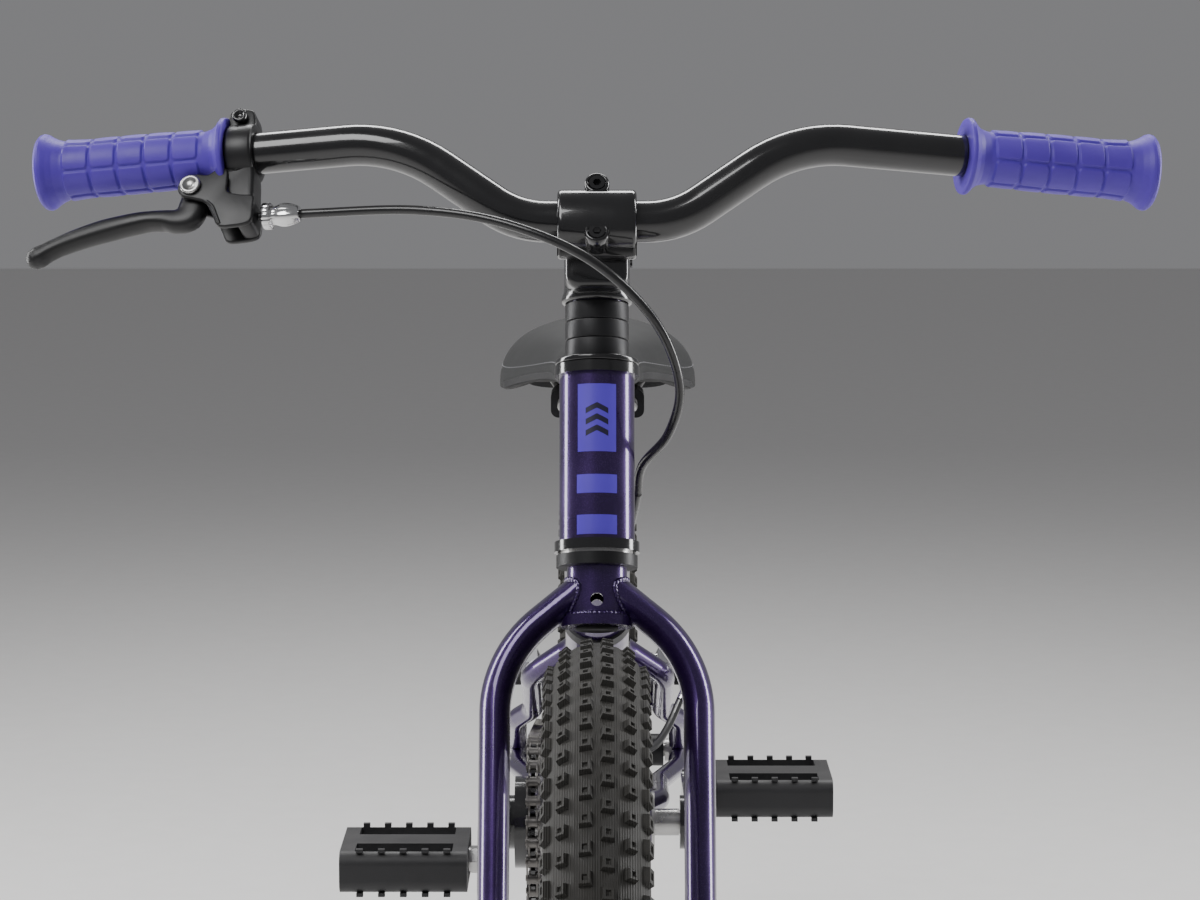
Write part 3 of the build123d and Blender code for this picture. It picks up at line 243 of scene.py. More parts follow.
# %% [markdown]
# ## Materials
# Each finish is a Principled surface whose colour and roughness wander with the marks. Paint adds
# metal flakes under a clear coat; rubber and plastic add a small bump.

# %% Write the material recipe
def finish(name, dark, light, roughness, spread=0.08, metallic=0.0, coat=0.0, bump=0.0,
           bump_scale=1.0, dust=0.08, flake=0.0, lines=0.0):
    """Colour mixes dark to light with the patches; roughness is roughness +- spread with them too."""
    material = bpy.data.materials.new(name)
    material.use_nodes = True
    nodes, links = material.node_tree.nodes, material.node_tree.links
    surface = nodes["Principled BSDF"]
    surface.inputs["Metallic"].default_value = metallic
    surface.inputs["Coat Weight"].default_value = coat
    surface.inputs["Coat Roughness"].default_value = 0.04
    marked = nodes.new("ShaderNodeGroup")
    marked.node_tree = marks
    marked.inputs["Size"].default_value = bump_scale
    colour = nodes.new("ShaderNodeMix")
    colour.data_type = "RGBA"
    colour.inputs[6].default_value = (*dark, 1)
    colour.inputs[7].default_value = (*light, 1)
    links.new(marked.outputs["Patch"], colour.inputs["Factor"])
    last = colour.outputs[2]
    if flake:
        flakes = nodes.new("ShaderNodeTexVoronoi")
        flakes.inputs["Scale"].default_value = 2600
        place = nodes.new("ShaderNodeTexCoord")
        links.new(place.outputs["Object"], flakes.inputs["Vector"])
        bright = nodes.new("ShaderNodeMapRange")
        bright.inputs["From Min"].default_value = 0.55
        bright.inputs["From Max"].default_value = 1.0
        bright.inputs["To Max"].default_value = flake
        links.new(flakes.outputs["Color"], bright.inputs["Value"])
        glint = nodes.new("ShaderNodeMix")
        glint.data_type = "RGBA"
        glint.inputs[7].default_value = (*[min(1, 2.4 * c + 0.05) for c in light], 1)
        links.new(last, glint.inputs[6])
        links.new(bright.outputs["Result"], glint.inputs["Factor"])
        last = glint.outputs[2]
    dusty = nodes.new("ShaderNodeMix")
    dusty.data_type = "RGBA"
    dusty.inputs[7].default_value = (0.32, 0.30, 0.28, 1)
    amount = nodes.new("ShaderNodeMath")
    amount.operation = "MULTIPLY"
    amount.inputs[1].default_value = dust
    links.new(marked.outputs["Dust"], amount.inputs[0])
    links.new(amount.outputs[0], dusty.inputs["Factor"])
    links.new(last, dusty.inputs[6])
    links.new(dusty.outputs[2], surface.inputs["Base Color"])
    rough = nodes.new("ShaderNodeMapRange")
    rough.inputs["From Min"].default_value = 0.3
    rough.inputs["From Max"].default_value = 0.7
    rough.inputs["To Min"].default_value = max(0.02, roughness - spread)
    rough.inputs["To Max"].default_value = roughness + spread
    links.new(marked.outputs["Patch"], rough.inputs["Value"])
    links.new(rough.outputs["Result"], surface.inputs["Roughness"])
    if bump:
        raised = nodes.new("ShaderNodeBump")
        raised.inputs["Strength"].default_value = bump
        raised.inputs["Distance"].default_value = 0.0004
        links.new(marked.outputs["Grain"], raised.inputs["Height"])
        if lines:
            across_place = nodes.new("ShaderNodeTexCoord")
            split = nodes.new("ShaderNodeSeparateXYZ")
            links.new(across_place.outputs["Object"], split.inputs[0])
            wave = nodes.new("ShaderNodeMath")
            wave.operation = "MULTIPLY"
            wave.inputs[1].default_value = 2 * pi / lines
            links.new(split.outputs["X"], wave.inputs[0])
            ripple = nodes.new("ShaderNodeMath")
            ripple.operation = "SINE"
            links.new(wave.outputs[0], ripple.inputs[0])
            height = nodes.new("ShaderNodeMath")
            height.operation = "MULTIPLY_ADD"
            height.inputs[1].default_value = 0.5
            links.new(ripple.outputs[0], height.inputs[0])
            links.new(marked.outputs["Grain"], height.inputs[2])
            links.new(height.outputs[0], raised.inputs["Height"])
        links.new(raised.outputs["Normal"], surface.inputs["Normal"])
    return material


frame_paint = finish("frame_paint", (0.022, 0.006, 0.064), (0.040, 0.011, 0.104), 0.30, 0.05,
                     metallic=0.7, coat=1.0, flake=0.30, dust=0.01)
black_gloss = finish("black_gloss", (0.006, 0.006, 0.007), (0.012, 0.012, 0.013), 0.20, 0.06,
                     coat=0.8, dust=0.02)
cast_black = finish("cast_black", (0.007, 0.007, 0.008), (0.014, 0.014, 0.015), 0.40, 0.07,
                    bump=0.10, bump_scale=0.8, dust=0.02)
satin_black = finish("satin_black", (0.012, 0.012, 0.013), (0.022, 0.022, 0.024), 0.42, 0.06,
                     metallic=0.4, bump=0.08, dust=0.05)
zinc = finish("zinc", (0.38, 0.38, 0.38), (0.62, 0.61, 0.60), 0.32, 0.10, metallic=1.0, bump=0.10)
chrome = finish("chrome", (0.62, 0.62, 0.63), (0.80, 0.80, 0.80), 0.12, 0.05, metallic=1.0)
alloy = finish("alloy", (0.52, 0.52, 0.53), (0.60, 0.60, 0.61), 0.34, 0.03, metallic=1.0, bump=0.06)
chain_steel = finish("chain_steel", (0.10, 0.095, 0.09), (0.24, 0.23, 0.22), 0.38, 0.10,
                     metallic=1.0, bump=0.15)
tyre_rubber = finish("tyre_rubber", (0.016, 0.015, 0.013), (0.030, 0.028, 0.024), 0.70, 0.10,
                     bump=0.45, dust=0.06, lines=0.0012)
grip_rubber = finish("grip_rubber", (0.080, 0.034, 0.40), (0.110, 0.049, 0.54), 0.52, 0.08,
                     bump=0.22, bump_scale=0.8, dust=0.01)
soft_grey = finish("soft_grey", (0.10, 0.10, 0.11), (0.20, 0.20, 0.21), 0.62, 0.08, bump=0.2)
dark_rubber = finish("dark_rubber", (0.012, 0.012, 0.012), (0.026, 0.026, 0.026), 0.70, 0.08, bump=0.3)
cable_black = finish("cable_black", (0.008, 0.008, 0.009), (0.016, 0.016, 0.017), 0.28, 0.07,
                     coat=0.3, bump=0.04)
moulded = finish("moulded", (0.014, 0.014, 0.015), (0.028, 0.028, 0.030), 0.52, 0.10, bump=0.25)
saddle_cover = finish("saddle_cover", (0.009, 0.0095, 0.010), (0.016, 0.0165, 0.017), 0.68, 0.08,
                      bump=0.30, bump_scale=0.6, dust=0.02)
sticker = finish("sticker", (0.095, 0.048, 0.56), (0.120, 0.062, 0.68), 0.34, 0.05, coat=0.4, dust=0.0)
sticker_dark = finish("sticker_dark", (0.010, 0.008, 0.030), (0.018, 0.014, 0.050), 0.34, 0.05, coat=0.4)
weld_paint = finish("weld_paint", (0.023, 0.007, 0.068), (0.040, 0.011, 0.106), 0.34, 0.06,
                    metallic=0.7, coat=1.0, dust=0.01)
print("materials:", len(bpy.data.materials))

# %% [markdown]
# ## The brake cable's loop
# The housing leaves the lever's barrel, crosses in front of the stem, hangs down beside the head
# tube and runs back to the down tube.

# %% Make the loop
loop_points = [
    (-178.6, -269.6, 621.2), (-148.0, -276.0, 623.5), (-94, -296, 626), (-48, -312, 620),
    (-4, -321, 602), (29, -316, 571), (43, -300, 536), (38, -282, 508),
    (24.4, -254, 487.5), (22, -234, 470),
]
housing_radius = 2.5
loop_path = smooth_curve(loop_points, 3.0)
ring_radii = np.full(len(loop_path), housing_radius)
loop_rings = carried_rings(loop_path, ring_radii, 20)
loop_faces = grid_faces(len(loop_path), 20, False, True)
loop_faces.append(tuple(reversed(range(20))))
loop_faces.append(tuple(range(20 * (len(loop_path) - 1), 20 * len(loop_path))))
loop = mesh_object("brake_loop", loop_rings, loop_faces, cable_black, flip=True)
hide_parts("brake_housing_front")
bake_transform(loop)
print("loop length", round(float(np.linalg.norm(np.diff(loop_path, axis=0), axis=1).sum()), 1), "mm")

# %% [markdown]
# ## The straddle wire
# A straight steel wire joins the two brake arms over the rear tyre.

# %% Draw the wire
brake_lean = radians(24)
brake_out = np.array([0, -cos(brake_lean), sin(brake_lean)])
brake_up = np.array([0, sin(brake_lean), cos(brake_lean)])
wire_place = rear_axle + brake_out * (128 + 80) + brake_up * 15.25
wire_ends = (wire_place + across * 37.9, wire_place - across * 59.5)
wire_path = wire_ends[0] + np.outer(np.linspace(0, 1, 60), wire_ends[1] - wire_ends[0])
wire_faces = grid_faces(60, 10, False, True)
wire_faces += [tuple(range(10)), tuple(reversed(range(590, 600)))]
wire = mesh_object("brake_wire", carried_rings(wire_path, np.full(60, 0.8), 10), wire_faces, zinc, flip=True)
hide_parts("straddle_wire")
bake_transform(wire)
print("wire", round(float(np.linalg.norm(wire_ends[1] - wire_ends[0])), 1), "mm")

# %% [markdown]
# ## Dress the metal parts
# Each node of the model takes its finish by name. A hairline bevel is asked for on the nodes listed
# in bevelled, and acts only where two of their faces share an edge.

# %% Give every node its finish
finishes = {
    frame_paint: ["frame", "fork"],
    black_gloss: ["headset_cups", "stem", "stem_faceplate", "handlebar", "brake_perch", "brake_lever",
                  "chainring", "crank_arm_left", "crank_arm_right", "seat_post", "stem_bolts"],
    satin_black: ["crown_race", "headset_spacers", "top_cap", "front_hub", "rear_hub", "seat_clamp",
                  "saddle_clamp"],
    zinc: ["headset_bearings", "top_cap_bolt", "lever_bolts", "front_axle",
           "front_axle_nuts", "rear_axle", "rear_axle_nuts", "front_spokes", "rear_spokes",
           "freewheel_sprocket", "crank_spindle", "bottom_bracket_cups", "pedal_axles",
           "brake_pivot_bolts", "straddle_wire", "saddle_rails"],
    chrome: ["barrel_adjuster", "noodle", "crank_bolts"],
    alloy: ["front_rim", "rear_rim", "brake_arm_left", "brake_arm_right"],
    chain_steel: ["chain"],
    tyre_rubber: ["front_tyre", "rear_tyre"],
    grip_rubber: ["grip_left", "grip_right"],
    soft_grey: ["cable_boot"],
    dark_rubber: ["front_inner_tube", "rear_inner_tube", "brake_pad_left", "brake_pad_right"],
    cable_black: ["brake_housing_front", "brake_housing_rear"],
    moulded: ["cable_clips", "pedal_left", "pedal_right", "saddle_base"],
    saddle_cover: ["saddle_pad"],
}
bevelled = {"stem_bolts": 0.3, "crank_arm_left": 1.0, "crank_arm_right": 1.0,
            "pedal_left": 0.5, "pedal_right": 0.5, "seat_clamp": 0.5, "saddle_clamp": 0.5,
            "top_cap": 0.5, "freewheel_sprocket": 0.15, "chainring": 0.3, "brake_arm_left": 0.5,
            "brake_arm_right": 0.5}
for material, names in finishes.items():
    for name in names:
        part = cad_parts[name]
        part.data.materials.clear()
        part.data.materials.append(material)
        if name in bevelled:
            bevel = part.modifiers.new("edge", "BEVEL")
            bevel.width = bevelled[name] * mm
            bevel.segments = 2
            bevel.limit_method = "ANGLE"
            bevel.angle_limit = radians(35)
            bevel.harden_normals = False
print("dressed", sum(len(names) for names in finishes.values()), "nodes")

# %% [markdown]
# ## Tyres
# The casing is a round section turned about the axle, with thin ribs along it. Six rows of lugs go
# round: a staggered centre pair, two inner rows and the shoulder lugs, each with a small hollow.

# %% Shape the tyres
tyre_centre = 178.5
casing = 24.9
lug_count = 82
lug_height = 3.0


def wheel_point(axle, angle, radius, x):
    """axle + x across + radius (cos a, sin a) in the wheel's plane."""
    return np.array([x, axle[1] + radius * cos(angle), axle[2] + radius * sin(angle)])


def casing_profile():
    """(radius, x) round the casing: centre + c (cos p, sin p), with raised ribs, then the beads."""
    outline = [(155.0, -13.2), (159.6, -13.3), (160.4, -17.5)]
    for p in np.radians(np.linspace(-132, 132, 133)):
        x = casing * 1.02 * sin(p)
        rib = 0.0
        for place in (2.0, 10.6, 20.4):
            rib += 0.30 * np.exp(-((abs(x) - place) / 0.55) ** 2) * (cos(p) > 0)
        for place in (97, 104, 124):
            rib += 0.55 * np.exp(-((abs(np.degrees(p)) - place) / 1.6) ** 2)
        outline.append((tyre_centre + (casing + rib) * cos(p), x * (1 + rib / casing)))
    outline += [(160.4, 17.5), (159.6, 13.3), (155.0, 13.2)]
    return np.array(outline)


def lug(centre, out, along, side, length, width, height):
    """A tapered block with a hollow in its top: 16 points from four squares, 13 faces."""
    points = []
    for half_l, half_w, level in (
        (length * 0.58, width * 0.58, -0.8), (length * 0.46, width * 0.46, height),
        (length * 0.24, width * 0.22, height), (length * 0.16, width * 0.14, height - 1.1),
    ):
        for a, b in ((-1, -1), (1, -1), (1, 1), (-1, 1)):
            points.append(centre + out * level + along * a * half_l + side * b * half_w)
    faces = [(12, 13, 14, 15)]
    for layer in range(3):
        for k in range(4):
            a, b = layer * 4 + k, layer * 4 + (k + 1) % 4
            faces.append((a, b, b + 4, a + 4))
    return points, faces


def tyre(name, node, axle, body):
    """The casing and its lugs, both turning with the wheel and standing for the plain tyre."""
    profile = casing_profile()
    turns = 240
    points = []
    for angle in np.linspace(0, 2 * pi, turns, endpoint=False):
        for radius, x in profile:
            points.append(wheel_point(axle, angle, radius, x))
    faces = grid_faces(turns, len(profile), True, True)
    casing_object = mesh_object(name + "_casing", points, faces, tyre_rubber, body)
    rows = [(5.0, 0.0, 6.6, 6.0), (-5.0, 0.5, 6.6, 6.0), (15.6, 0.25, 5.6, 5.6),
            (-15.6, 0.75, 5.6, 5.6), (23.2, 0.0, 8.4, 5.4), (-23.2, 0.5, 8.4, 5.4)]
    points, faces = [], []
    for place, shift, length, width in rows:
        lean = np.arcsin(place / (casing * 1.02))
        for k in range(lug_count):
            angle = 2 * pi * (k + shift) / lug_count
            radial = np.array([0, cos(angle), sin(angle)])
            along = np.array([0, -sin(angle), cos(angle)])
            out = radial * cos(lean) + across * sin(lean)
            side = across * cos(lean) - radial * sin(lean)
            centre = wheel_point(axle, angle, tyre_centre + casing * cos(lean), place)
            lug_points, lug_faces = lug(centre, out, along, side, length, width, lug_height)
            start = len(points)
            points += lug_points
            faces += [tuple(start + v for v in face) for face in lug_faces]
    lugs = mesh_object(name + "_lugs", points, faces, tyre_rubber, body, smooth=False)
    for piece in (casing_object, lugs):
        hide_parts(node)
    print(name, "has", len(rows) * lug_count, "lugs")


tyre("front_tread", "front_tyre", front_axle, "front_wheel")
tyre("rear_tread", "rear_tyre", rear_axle, "rear_wheel")

# %% [markdown]
# ## Grips
# A grip is a turned shape with rounded tiles raised on it, five along by six round, a trumpet end
# outside and a thin flared disc inside. Its bore is left open for the bar.

# %% Shape the grips
bar_corner = on_steerer(105, -35.7, 209.3)
bar_tip = on_steerer(295, 1.8, 201.3)
bar_run = unit(bar_tip - bar_corner)
bar_skin = 11.35
grip_knots = [-3.0, -2.4, -1.3, 0.3, 1.9, 4.0, 7.0, 11.0, 16.0, 22.0, 40.0, 60.0, 84.0, 90.0, 94.0,
              96.6, 98.4, 99.5, 100.9, 101.8, 102.0]
grip_sizes = [17.2, 19.0, 20.2, 20.6, 20.1, 18.6, 17.0, 15.7, 14.9, 14.5, 14.6, 14.5, 13.9, 14.1, 15.2,
              17.2, 19.4, 20.5, 20.5, 20.0, 19.2]


def tile_height(u, angles):
    """1.1 mm plateaus, one per cell, falling off where (column^7 + row^7)^(1/7) goes 0.84 to 0.98."""
    column = abs(((u - 12.0) / 15.2) % 1.0 - 0.5) * 2
    row = abs((angles / (2 * pi) * 6 + 0.5) % 1.0 - 0.5) * 2
    plateau = 1 - smoothstep(0.84, 0.98, (column**7 + row**7) ** (1 / 7))
    inside = float(12.0 < u < 88.0)
    return inside * (1.1 * plateau + 0.25 * (1 - column**2) * (1 - row**2))


def grip(name, node, sign):
    """Rings of radius plain(u) + tile_height(u, a) from the closed end in, then the bore back out."""
    sides = 216
    angles = np.linspace(0, 2 * pi, sides, endpoint=False)
    outside = np.concatenate([np.linspace(-3, 10, 44), np.linspace(10.3, 90, 230),
                              np.linspace(90.4, 102, 44)])
    profile = [(u, float(np.interp(u, grip_knots, grip_sizes)) + tile_height(u, angles)) for u in outside]
    profile += [(102.0, 11.3 + 0 * angles), (0.5, 11.3 + 0 * angles)]
    direction = bar_run * np.array([sign, 1, 1])
    tip = bar_tip * np.array([sign, 1, 1])
    up = unit(np.array([0, 0, 1.0]) - direction * direction[2])
    other = np.cross(direction, up)
    points = [tip - direction * u + np.outer(r * np.cos(angles), up) + np.outer(r * np.sin(angles), other)
              for u, r in profile]
    faces = grid_faces(len(profile), sides, False, True)
    faces.append(tuple(reversed(range(sides))))
    faces.append(tuple(range(sides * (len(profile) - 1), sides * len(profile))))
    piece = mesh_object(name, np.concatenate(points), faces, grip_rubber, "steering", flip=sign > 0)
    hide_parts(node)
    return piece


left_grip = grip("left_waffle_grip", "grip_left", 1)
right_grip = grip("right_waffle_grip", "grip_right", -1)
print("grip faces:", len(left_grip.data.polygons))

# %% [markdown]
# ## Brake lever
# The lever's castings are soft-edged slabs: an outline smoothed by a spline, with its edges rounded
# over. They are drawn in the lever's own place: out along the bar, down towards the blade, and
# across along the pivot.

# %% Cast the lever and its perch
lever_out = bar_run * np.array([-1, 1, 1])
perch_centre = bar_tip * np.array([-1, 1, 1]) - lever_out * 108.5
lever_down = np.array([0, -cos(radians(55)), -sin(radians(55))])
lever_down = unit(lever_down - lever_out * np.dot(lever_down, lever_out))
lever_axis = np.cross(lever_out, lever_down)
lever_axes = (lever_out, lever_down, lever_axis)


def rounded_outline(corners, step):
    """A closed spline through the corners, sampled about every step millimetres."""
    corners = np.asarray(corners, float)
    loop_of = np.vstack([corners[-2:], corners, corners[:3]])
    curve = []
    for p0, p1, p2, p3 in zip(loop_of[1:], loop_of[2:], loop_of[3:], loop_of[4:]):
        if len(curve) and np.allclose(p1, corners[0]):
            break
        count = max(2, int(np.linalg.norm(p2 - p1) / step))
        for t in np.linspace(0, 1, count, endpoint=False):
            a = 2 * p1 + (p2 - p0) * t
            b = (2 * p0 - 5 * p1 + 4 * p2 - p3) * t**2
            c = (3 * p1 - p0 - 3 * p2 + p3) * t**3
            curve.append(0.5 * (a + b + c))
    return np.array(curve)


def soft_slab(name, outline, low, high, edge, origin, axes, material, body):
    """Rings inset by edge (1 - cos a) at depth edge (1 - sin a): an outline with rounded rims."""
    outline = np.asarray(outline, float)
    area = np.sum(outline[:, 0] * np.roll(outline[:, 1], -1) - np.roll(outline[:, 0], -1) * outline[:, 1])
    if area < 0:
        outline = outline[::-1]
    ahead = np.roll(outline, -1, axis=0) - np.roll(outline, 1, axis=0)
    ahead /= np.linalg.norm(ahead, axis=1)[:, None]
    inward = np.stack([-ahead[:, 1], ahead[:, 0]], axis=1)
    rings = [(low + edge * (1 - sin(a)), edge * (1 - cos(a))) for a in np.radians([90, 65, 42, 20, 0])]
    rings += [(high - edge * (1 - sin(a)), edge * (1 - cos(a))) for a in np.radians([0, 20, 42, 65, 90])]
    points = []
    for level, inset in rings:
        flat = outline + inward * inset
        points.append(origin + np.outer(flat[:, 0], axes[0]) + np.outer(flat[:, 1], axes[1])
                      + level * axes[2])
    count = len(outline)
    faces = grid_faces(len(rings), count, False, True)
    faces.append(tuple(range(count)))
    faces.append(tuple(reversed(range(count * (len(rings) - 1), count * len(rings)))))
    right_handed = np.dot(np.cross(axes[0], axes[1]), axes[2]) > 0
    return mesh_object(name, np.concatenate(points), faces, material, body, flip=right_handed)


def turned(name, profile, origin, along, sides, material, body, notch=None):
    """Rings of radius r(u) (1 - notch(u, a)) about an axis, with flat ends."""
    along = unit(along)
    side = unit(np.cross(along, [0.2, 0.3, 1.0]))
    other = np.cross(along, side)
    angles = np.linspace(0, 2 * pi, sides, endpoint=False)
    points = []
    for u, radius in profile:
        r = radius * (1 - notch(u, angles)) if notch else radius + 0 * angles
        points.append(origin + along * u + np.outer(r * np.cos(angles), side)
                      + np.outer(r * np.sin(angles), other))
    faces = grid_faces(len(profile), sides, False, True)
    faces.append(tuple(range(sides)))
    faces.append(tuple(reversed(range(sides * (len(profile) - 1), sides * len(profile)))))
    return mesh_object(name, np.concatenate(points), faces, material, body, flip=True)


def blade():
    """An oval section h(s) by t(s) carried along the blade's curve, from the pivot's eye to the tip."""
    curve = [(24, 22, 7.0, 5.6), (24.5, 30, 8.0, 5.6), (27, 36.5, 8.0, 5.7), (33, 38.6, 6.3, 5.9),
             (40, 37.6, 5.2, 6.2), (48, 37.2, 4.9, 6.4), (56, 37.8, 5.3, 6.5), (73, 40.6, 5.7, 6.3),
             (88, 44.6, 5.2, 6.0), (98, 48.2, 4.6, 5.8), (104, 51.0, 4.6, 5.9), (108.5, 53.4, 5.3, 6.2),
             (112, 55.3, 4.7, 5.4), (114.2, 56.5, 2.6, 2.8), (114.6, 56.7, 0.3, 0.3)]
    track = smooth_curve([c[:2] + (0,) for c in curve], 1.1)
    walked = np.concatenate([[0], np.cumsum(np.linalg.norm(np.diff(track, axis=0), axis=1))])
    places = np.array([c[:2] for c in curve])
    marks_at = [walked[np.argmin(np.linalg.norm(track[:, :2] - p, axis=1))] for p in places]
    height = np.interp(walked, marks_at, [c[2] for c in curve])
    thick = np.interp(walked, marks_at, [c[3] for c in curve])
    ahead = np.gradient(track, axis=0)
    ahead /= np.linalg.norm(ahead, axis=1)[:, None]
    normal = np.stack([-ahead[:, 1], ahead[:, 0], 0 * ahead[:, 0]], axis=1)
    angles = np.linspace(0, 2 * pi, 28, endpoint=False)
    ca, sa = np.cos(angles), np.sin(angles)
    ca, sa = np.sign(ca) * np.abs(ca) ** 0.8, np.sign(sa) * np.abs(sa) ** 0.8
    points = []
    for i in range(len(track)):
        flat = track[i] + np.outer(ca * height[i], normal[i]) + np.outer(sa * thick[i], [0, 0, 1])
        points.append(perch_centre + flat @ np.array(lever_axes))
    faces = grid_faces(len(track), 28, False, True)
    faces.append(tuple(range(28)))
    faces.append(tuple(reversed(range(28 * (len(track) - 1), 28 * len(track)))))
    return mesh_object("lever_blade", np.concatenate(points), faces, cast_black, "lever", flip=True)


lever_blade = blade()
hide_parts("brake_lever")

cheek = rounded_outline([(-10.5, 32), (-3, 30.5), (3.5, 28), (4.0, 22), (4.5, 15), (9, 12.5), (15, 16.5),
                         (22, 15.6), (29, 17.5), (31.4, 23), (29, 28.6), (22, 31), (15.5, 34), (11, 42),
                         (7.5, 49), (0, 50), (-8, 49), (-11, 46), (-11.2, 38)], 0.9)
root = rounded_outline([(-10.5, 33), (-4, 31.5), (-2, 35), (-2, 44), (-3, 48.5), (-9.5, 48), (-11, 44),
                        (-11, 37)], 0.9)
neck = rounded_outline([(-8, 11), (0, 13), (6, 12), (13, 14.5), (13, 17), (5, 20), (4, 27), (1, 33),
                        (-9, 35), (-10, 24)], 0.9)
slabs = [
    soft_slab("perch_cheek_front", cheek, 6.5, 9.6, 1.1, perch_centre, lever_axes, cast_black, "steering"),
    soft_slab("perch_cheek_back", cheek, -9.6, -6.5, 1.1, perch_centre, lever_axes, cast_black, "steering"),
    soft_slab("perch_root", root, -7.5, 7.5, 1.5, perch_centre, lever_axes, cast_black, "steering"),
    soft_slab("perch_neck", neck, -8.2, 8.2, 2.0, perch_centre, lever_axes, cast_black, "steering"),
]
band = [(-8.6, bar_skin), (-8.6, 14.6), (-8.0, 15.6), (-7.0, 16.0), (4.6, 16.0), (5.6, 15.6),
        (6.1, 14.6), (6.1, bar_skin)]
band_angles = np.linspace(0, 2 * pi, 96, endpoint=False)
band_points = [perch_centre + lever_out * u + np.outer(r * np.cos(band_angles), lever_down)
               + np.outer(r * np.sin(band_angles), lever_axis) for u, r in band]
slabs.append(mesh_object("perch_band", np.concatenate(band_points), grid_faces(8, 96, True, True),
                         cast_black, "steering"))
ear = rounded_outline([(-7, -12), (7, -12), (7, -22), (3, -24.5), (-3, -24.5), (-7, -22)], 0.9)
slabs.append(soft_slab("perch_ear", ear, -6.8, 6.8, 1.2, perch_centre, lever_axes, cast_black, "steering"))
rib = np.array([perch_centre + lever_out * u + lever_down * v + lever_axis * 9.4
                for u, v in smooth_curve([(14.5, 33.5, 0), (11, 37, 0), (8.5, 43, 0), (6.5, 48, 0)],
                                         0.8)[:, :2]])
slabs.append(mesh_object("perch_rib", carried_rings(rib, np.full(len(rib), 0.9), 12),
                         grid_faces(len(rib), 12, False, True), cast_black, "steering", flip=True))
for piece in slabs:
    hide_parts("brake_perch")


def knurl(u, angles):
    """Twelve shallow notches on the nut, and six long flutes on the barrel behind it."""
    if u < 20.0:
        return 0.06 * (np.cos(12 * angles) > 0.6)
    flute = smoothstep(21, 24, u) * (1 - smoothstep(30.5, 34, u))
    return 0.07 * flute * np.maximum(np.cos(6 * angles), 0) ** 0.7


barrel = [(14.3, 4.2), (14.3, 6.6), (14.8, 7.1), (18.4, 7.1), (19.0, 6.6), (19.2, 5.2), (20.6, 4.9),
          (22.4, 5.6), (24.0, 6.1), (26.0, 6.3), (28.5, 6.0), (31.0, 5.3), (33.0, 4.6), (34.0, 4.0),
          (34.2, 3.0)]
barrel_place = perch_centre + lever_down * 40
adjuster = turned("fluted_barrel", barrel, barrel_place, -lever_out, 120, chrome, "steering", knurl)
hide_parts("barrel_adjuster")
pivot = perch_centre + lever_out * 24 + lever_down * 23
pin = turned("pivot_bolt_head", [(9.7, 2.9), (9.7, 5.2), (10.2, 5.6), (11.6, 5.6), (12.1, 5.1), (12.3, 3.6),
                                 (11.4, 3.3), (11.3, 0.3)], pivot, lever_axis, 64, zinc, "steering")
shank = turned("pivot_bolt_shank", [(-11.4, 0.3), (-11.4, 4.2), (-9.7, 4.4), (-9.7, 2.9), (9.8, 2.9)],
               pivot, lever_axis, 48, zinc, "steering")
clamp = turned("clamp_bolt_head", [(6.9, 0.4), (6.9, 4.0), (10.8, 4.0), (11.4, 3.5), (11.4, 2.2), (9.6, 2.0),
                                   (9.6, 0.3)], perch_centre - lever_down * 18.5, lever_axis, 48,
               black_gloss, "steering")
for piece in (pin, shank, clamp):
    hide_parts("lever_bolts")
print("lever pieces:", len(slabs) + 5)

# %% [markdown]
# ## Faceplate
# The bar is held by a glossy domed faceplate whose front follows the bar. Round bosses carry its two
# bolts, and two ridges run down from the lower one.

# %% Dome the faceplate
clamp_middle = on_steerer(0, -35.7, 165.6)
face_lean = radians(22)
face_out = -steer_back * cos(face_lean) + steer_up * sin(face_lean)
face_up = np.cross(face_out, across)
face_axes = (face_up, face_out, across)
front_curve = [((18.6 if a < 0 else 14.6) * sin(a), 1.2 + 16.0 * cos(a) ** 0.70)
               for a in np.radians(np.linspace(-89, 89, 80))]
groove = [(bar_skin * sin(a), max(bar_skin * cos(a), 1.2)) for a in np.radians(np.linspace(89, -89, 40))]
face_outline = np.array(front_curve + groove)
pieces = [soft_slab("faceplate_shell", face_outline, -20.9, 20.9, 2.4, clamp_middle, face_axes,
                    black_gloss, "steering")]
for word, place in (("lower", -15.5), ("upper", 15.5)):
    profile = [(1.5, 6.6), (12.4, 6.6), (13.4, 6.3), (13.9, 5.5), (13.9, 4.7), (9.4, 4.6), (9.2, 0.3)]
    foot = clamp_middle + face_up * place
    pieces.append(turned(f"faceplate_boss_{word}", profile, foot, face_out, 64, black_gloss, "steering"))
for sign, word in ((-1, "right"), (1, "left")):
    ridge = smooth_curve([clamp_middle + across * sign * x + face_up * y + face_out * z for x, y, z in
                          ((5.6, -13.0, 11.6), (4.6, -17.0, 9.0), (3.2, -19.0, 5.4), (2.6, -19.6, 2.4))], 0.8)
    sizes = np.linspace(1.7, 1.2, len(ridge))
    pieces.append(mesh_object(f"faceplate_ridge_{word}", carried_rings(ridge, sizes, 14),
                              grid_faces(len(ridge), 14, False, True), black_gloss, "steering", flip=True))
for piece in pieces:
    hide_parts("stem_faceplate")
print("faceplate pieces:", len(pieces))

# %% [markdown]
# ## Stem
# The stem's back half hugs the bar, a rounded neck joins it to the steerer, and the clamp round the
# steerer flares a little at its lower lip. Two ears behind it carry the pinch bolts.

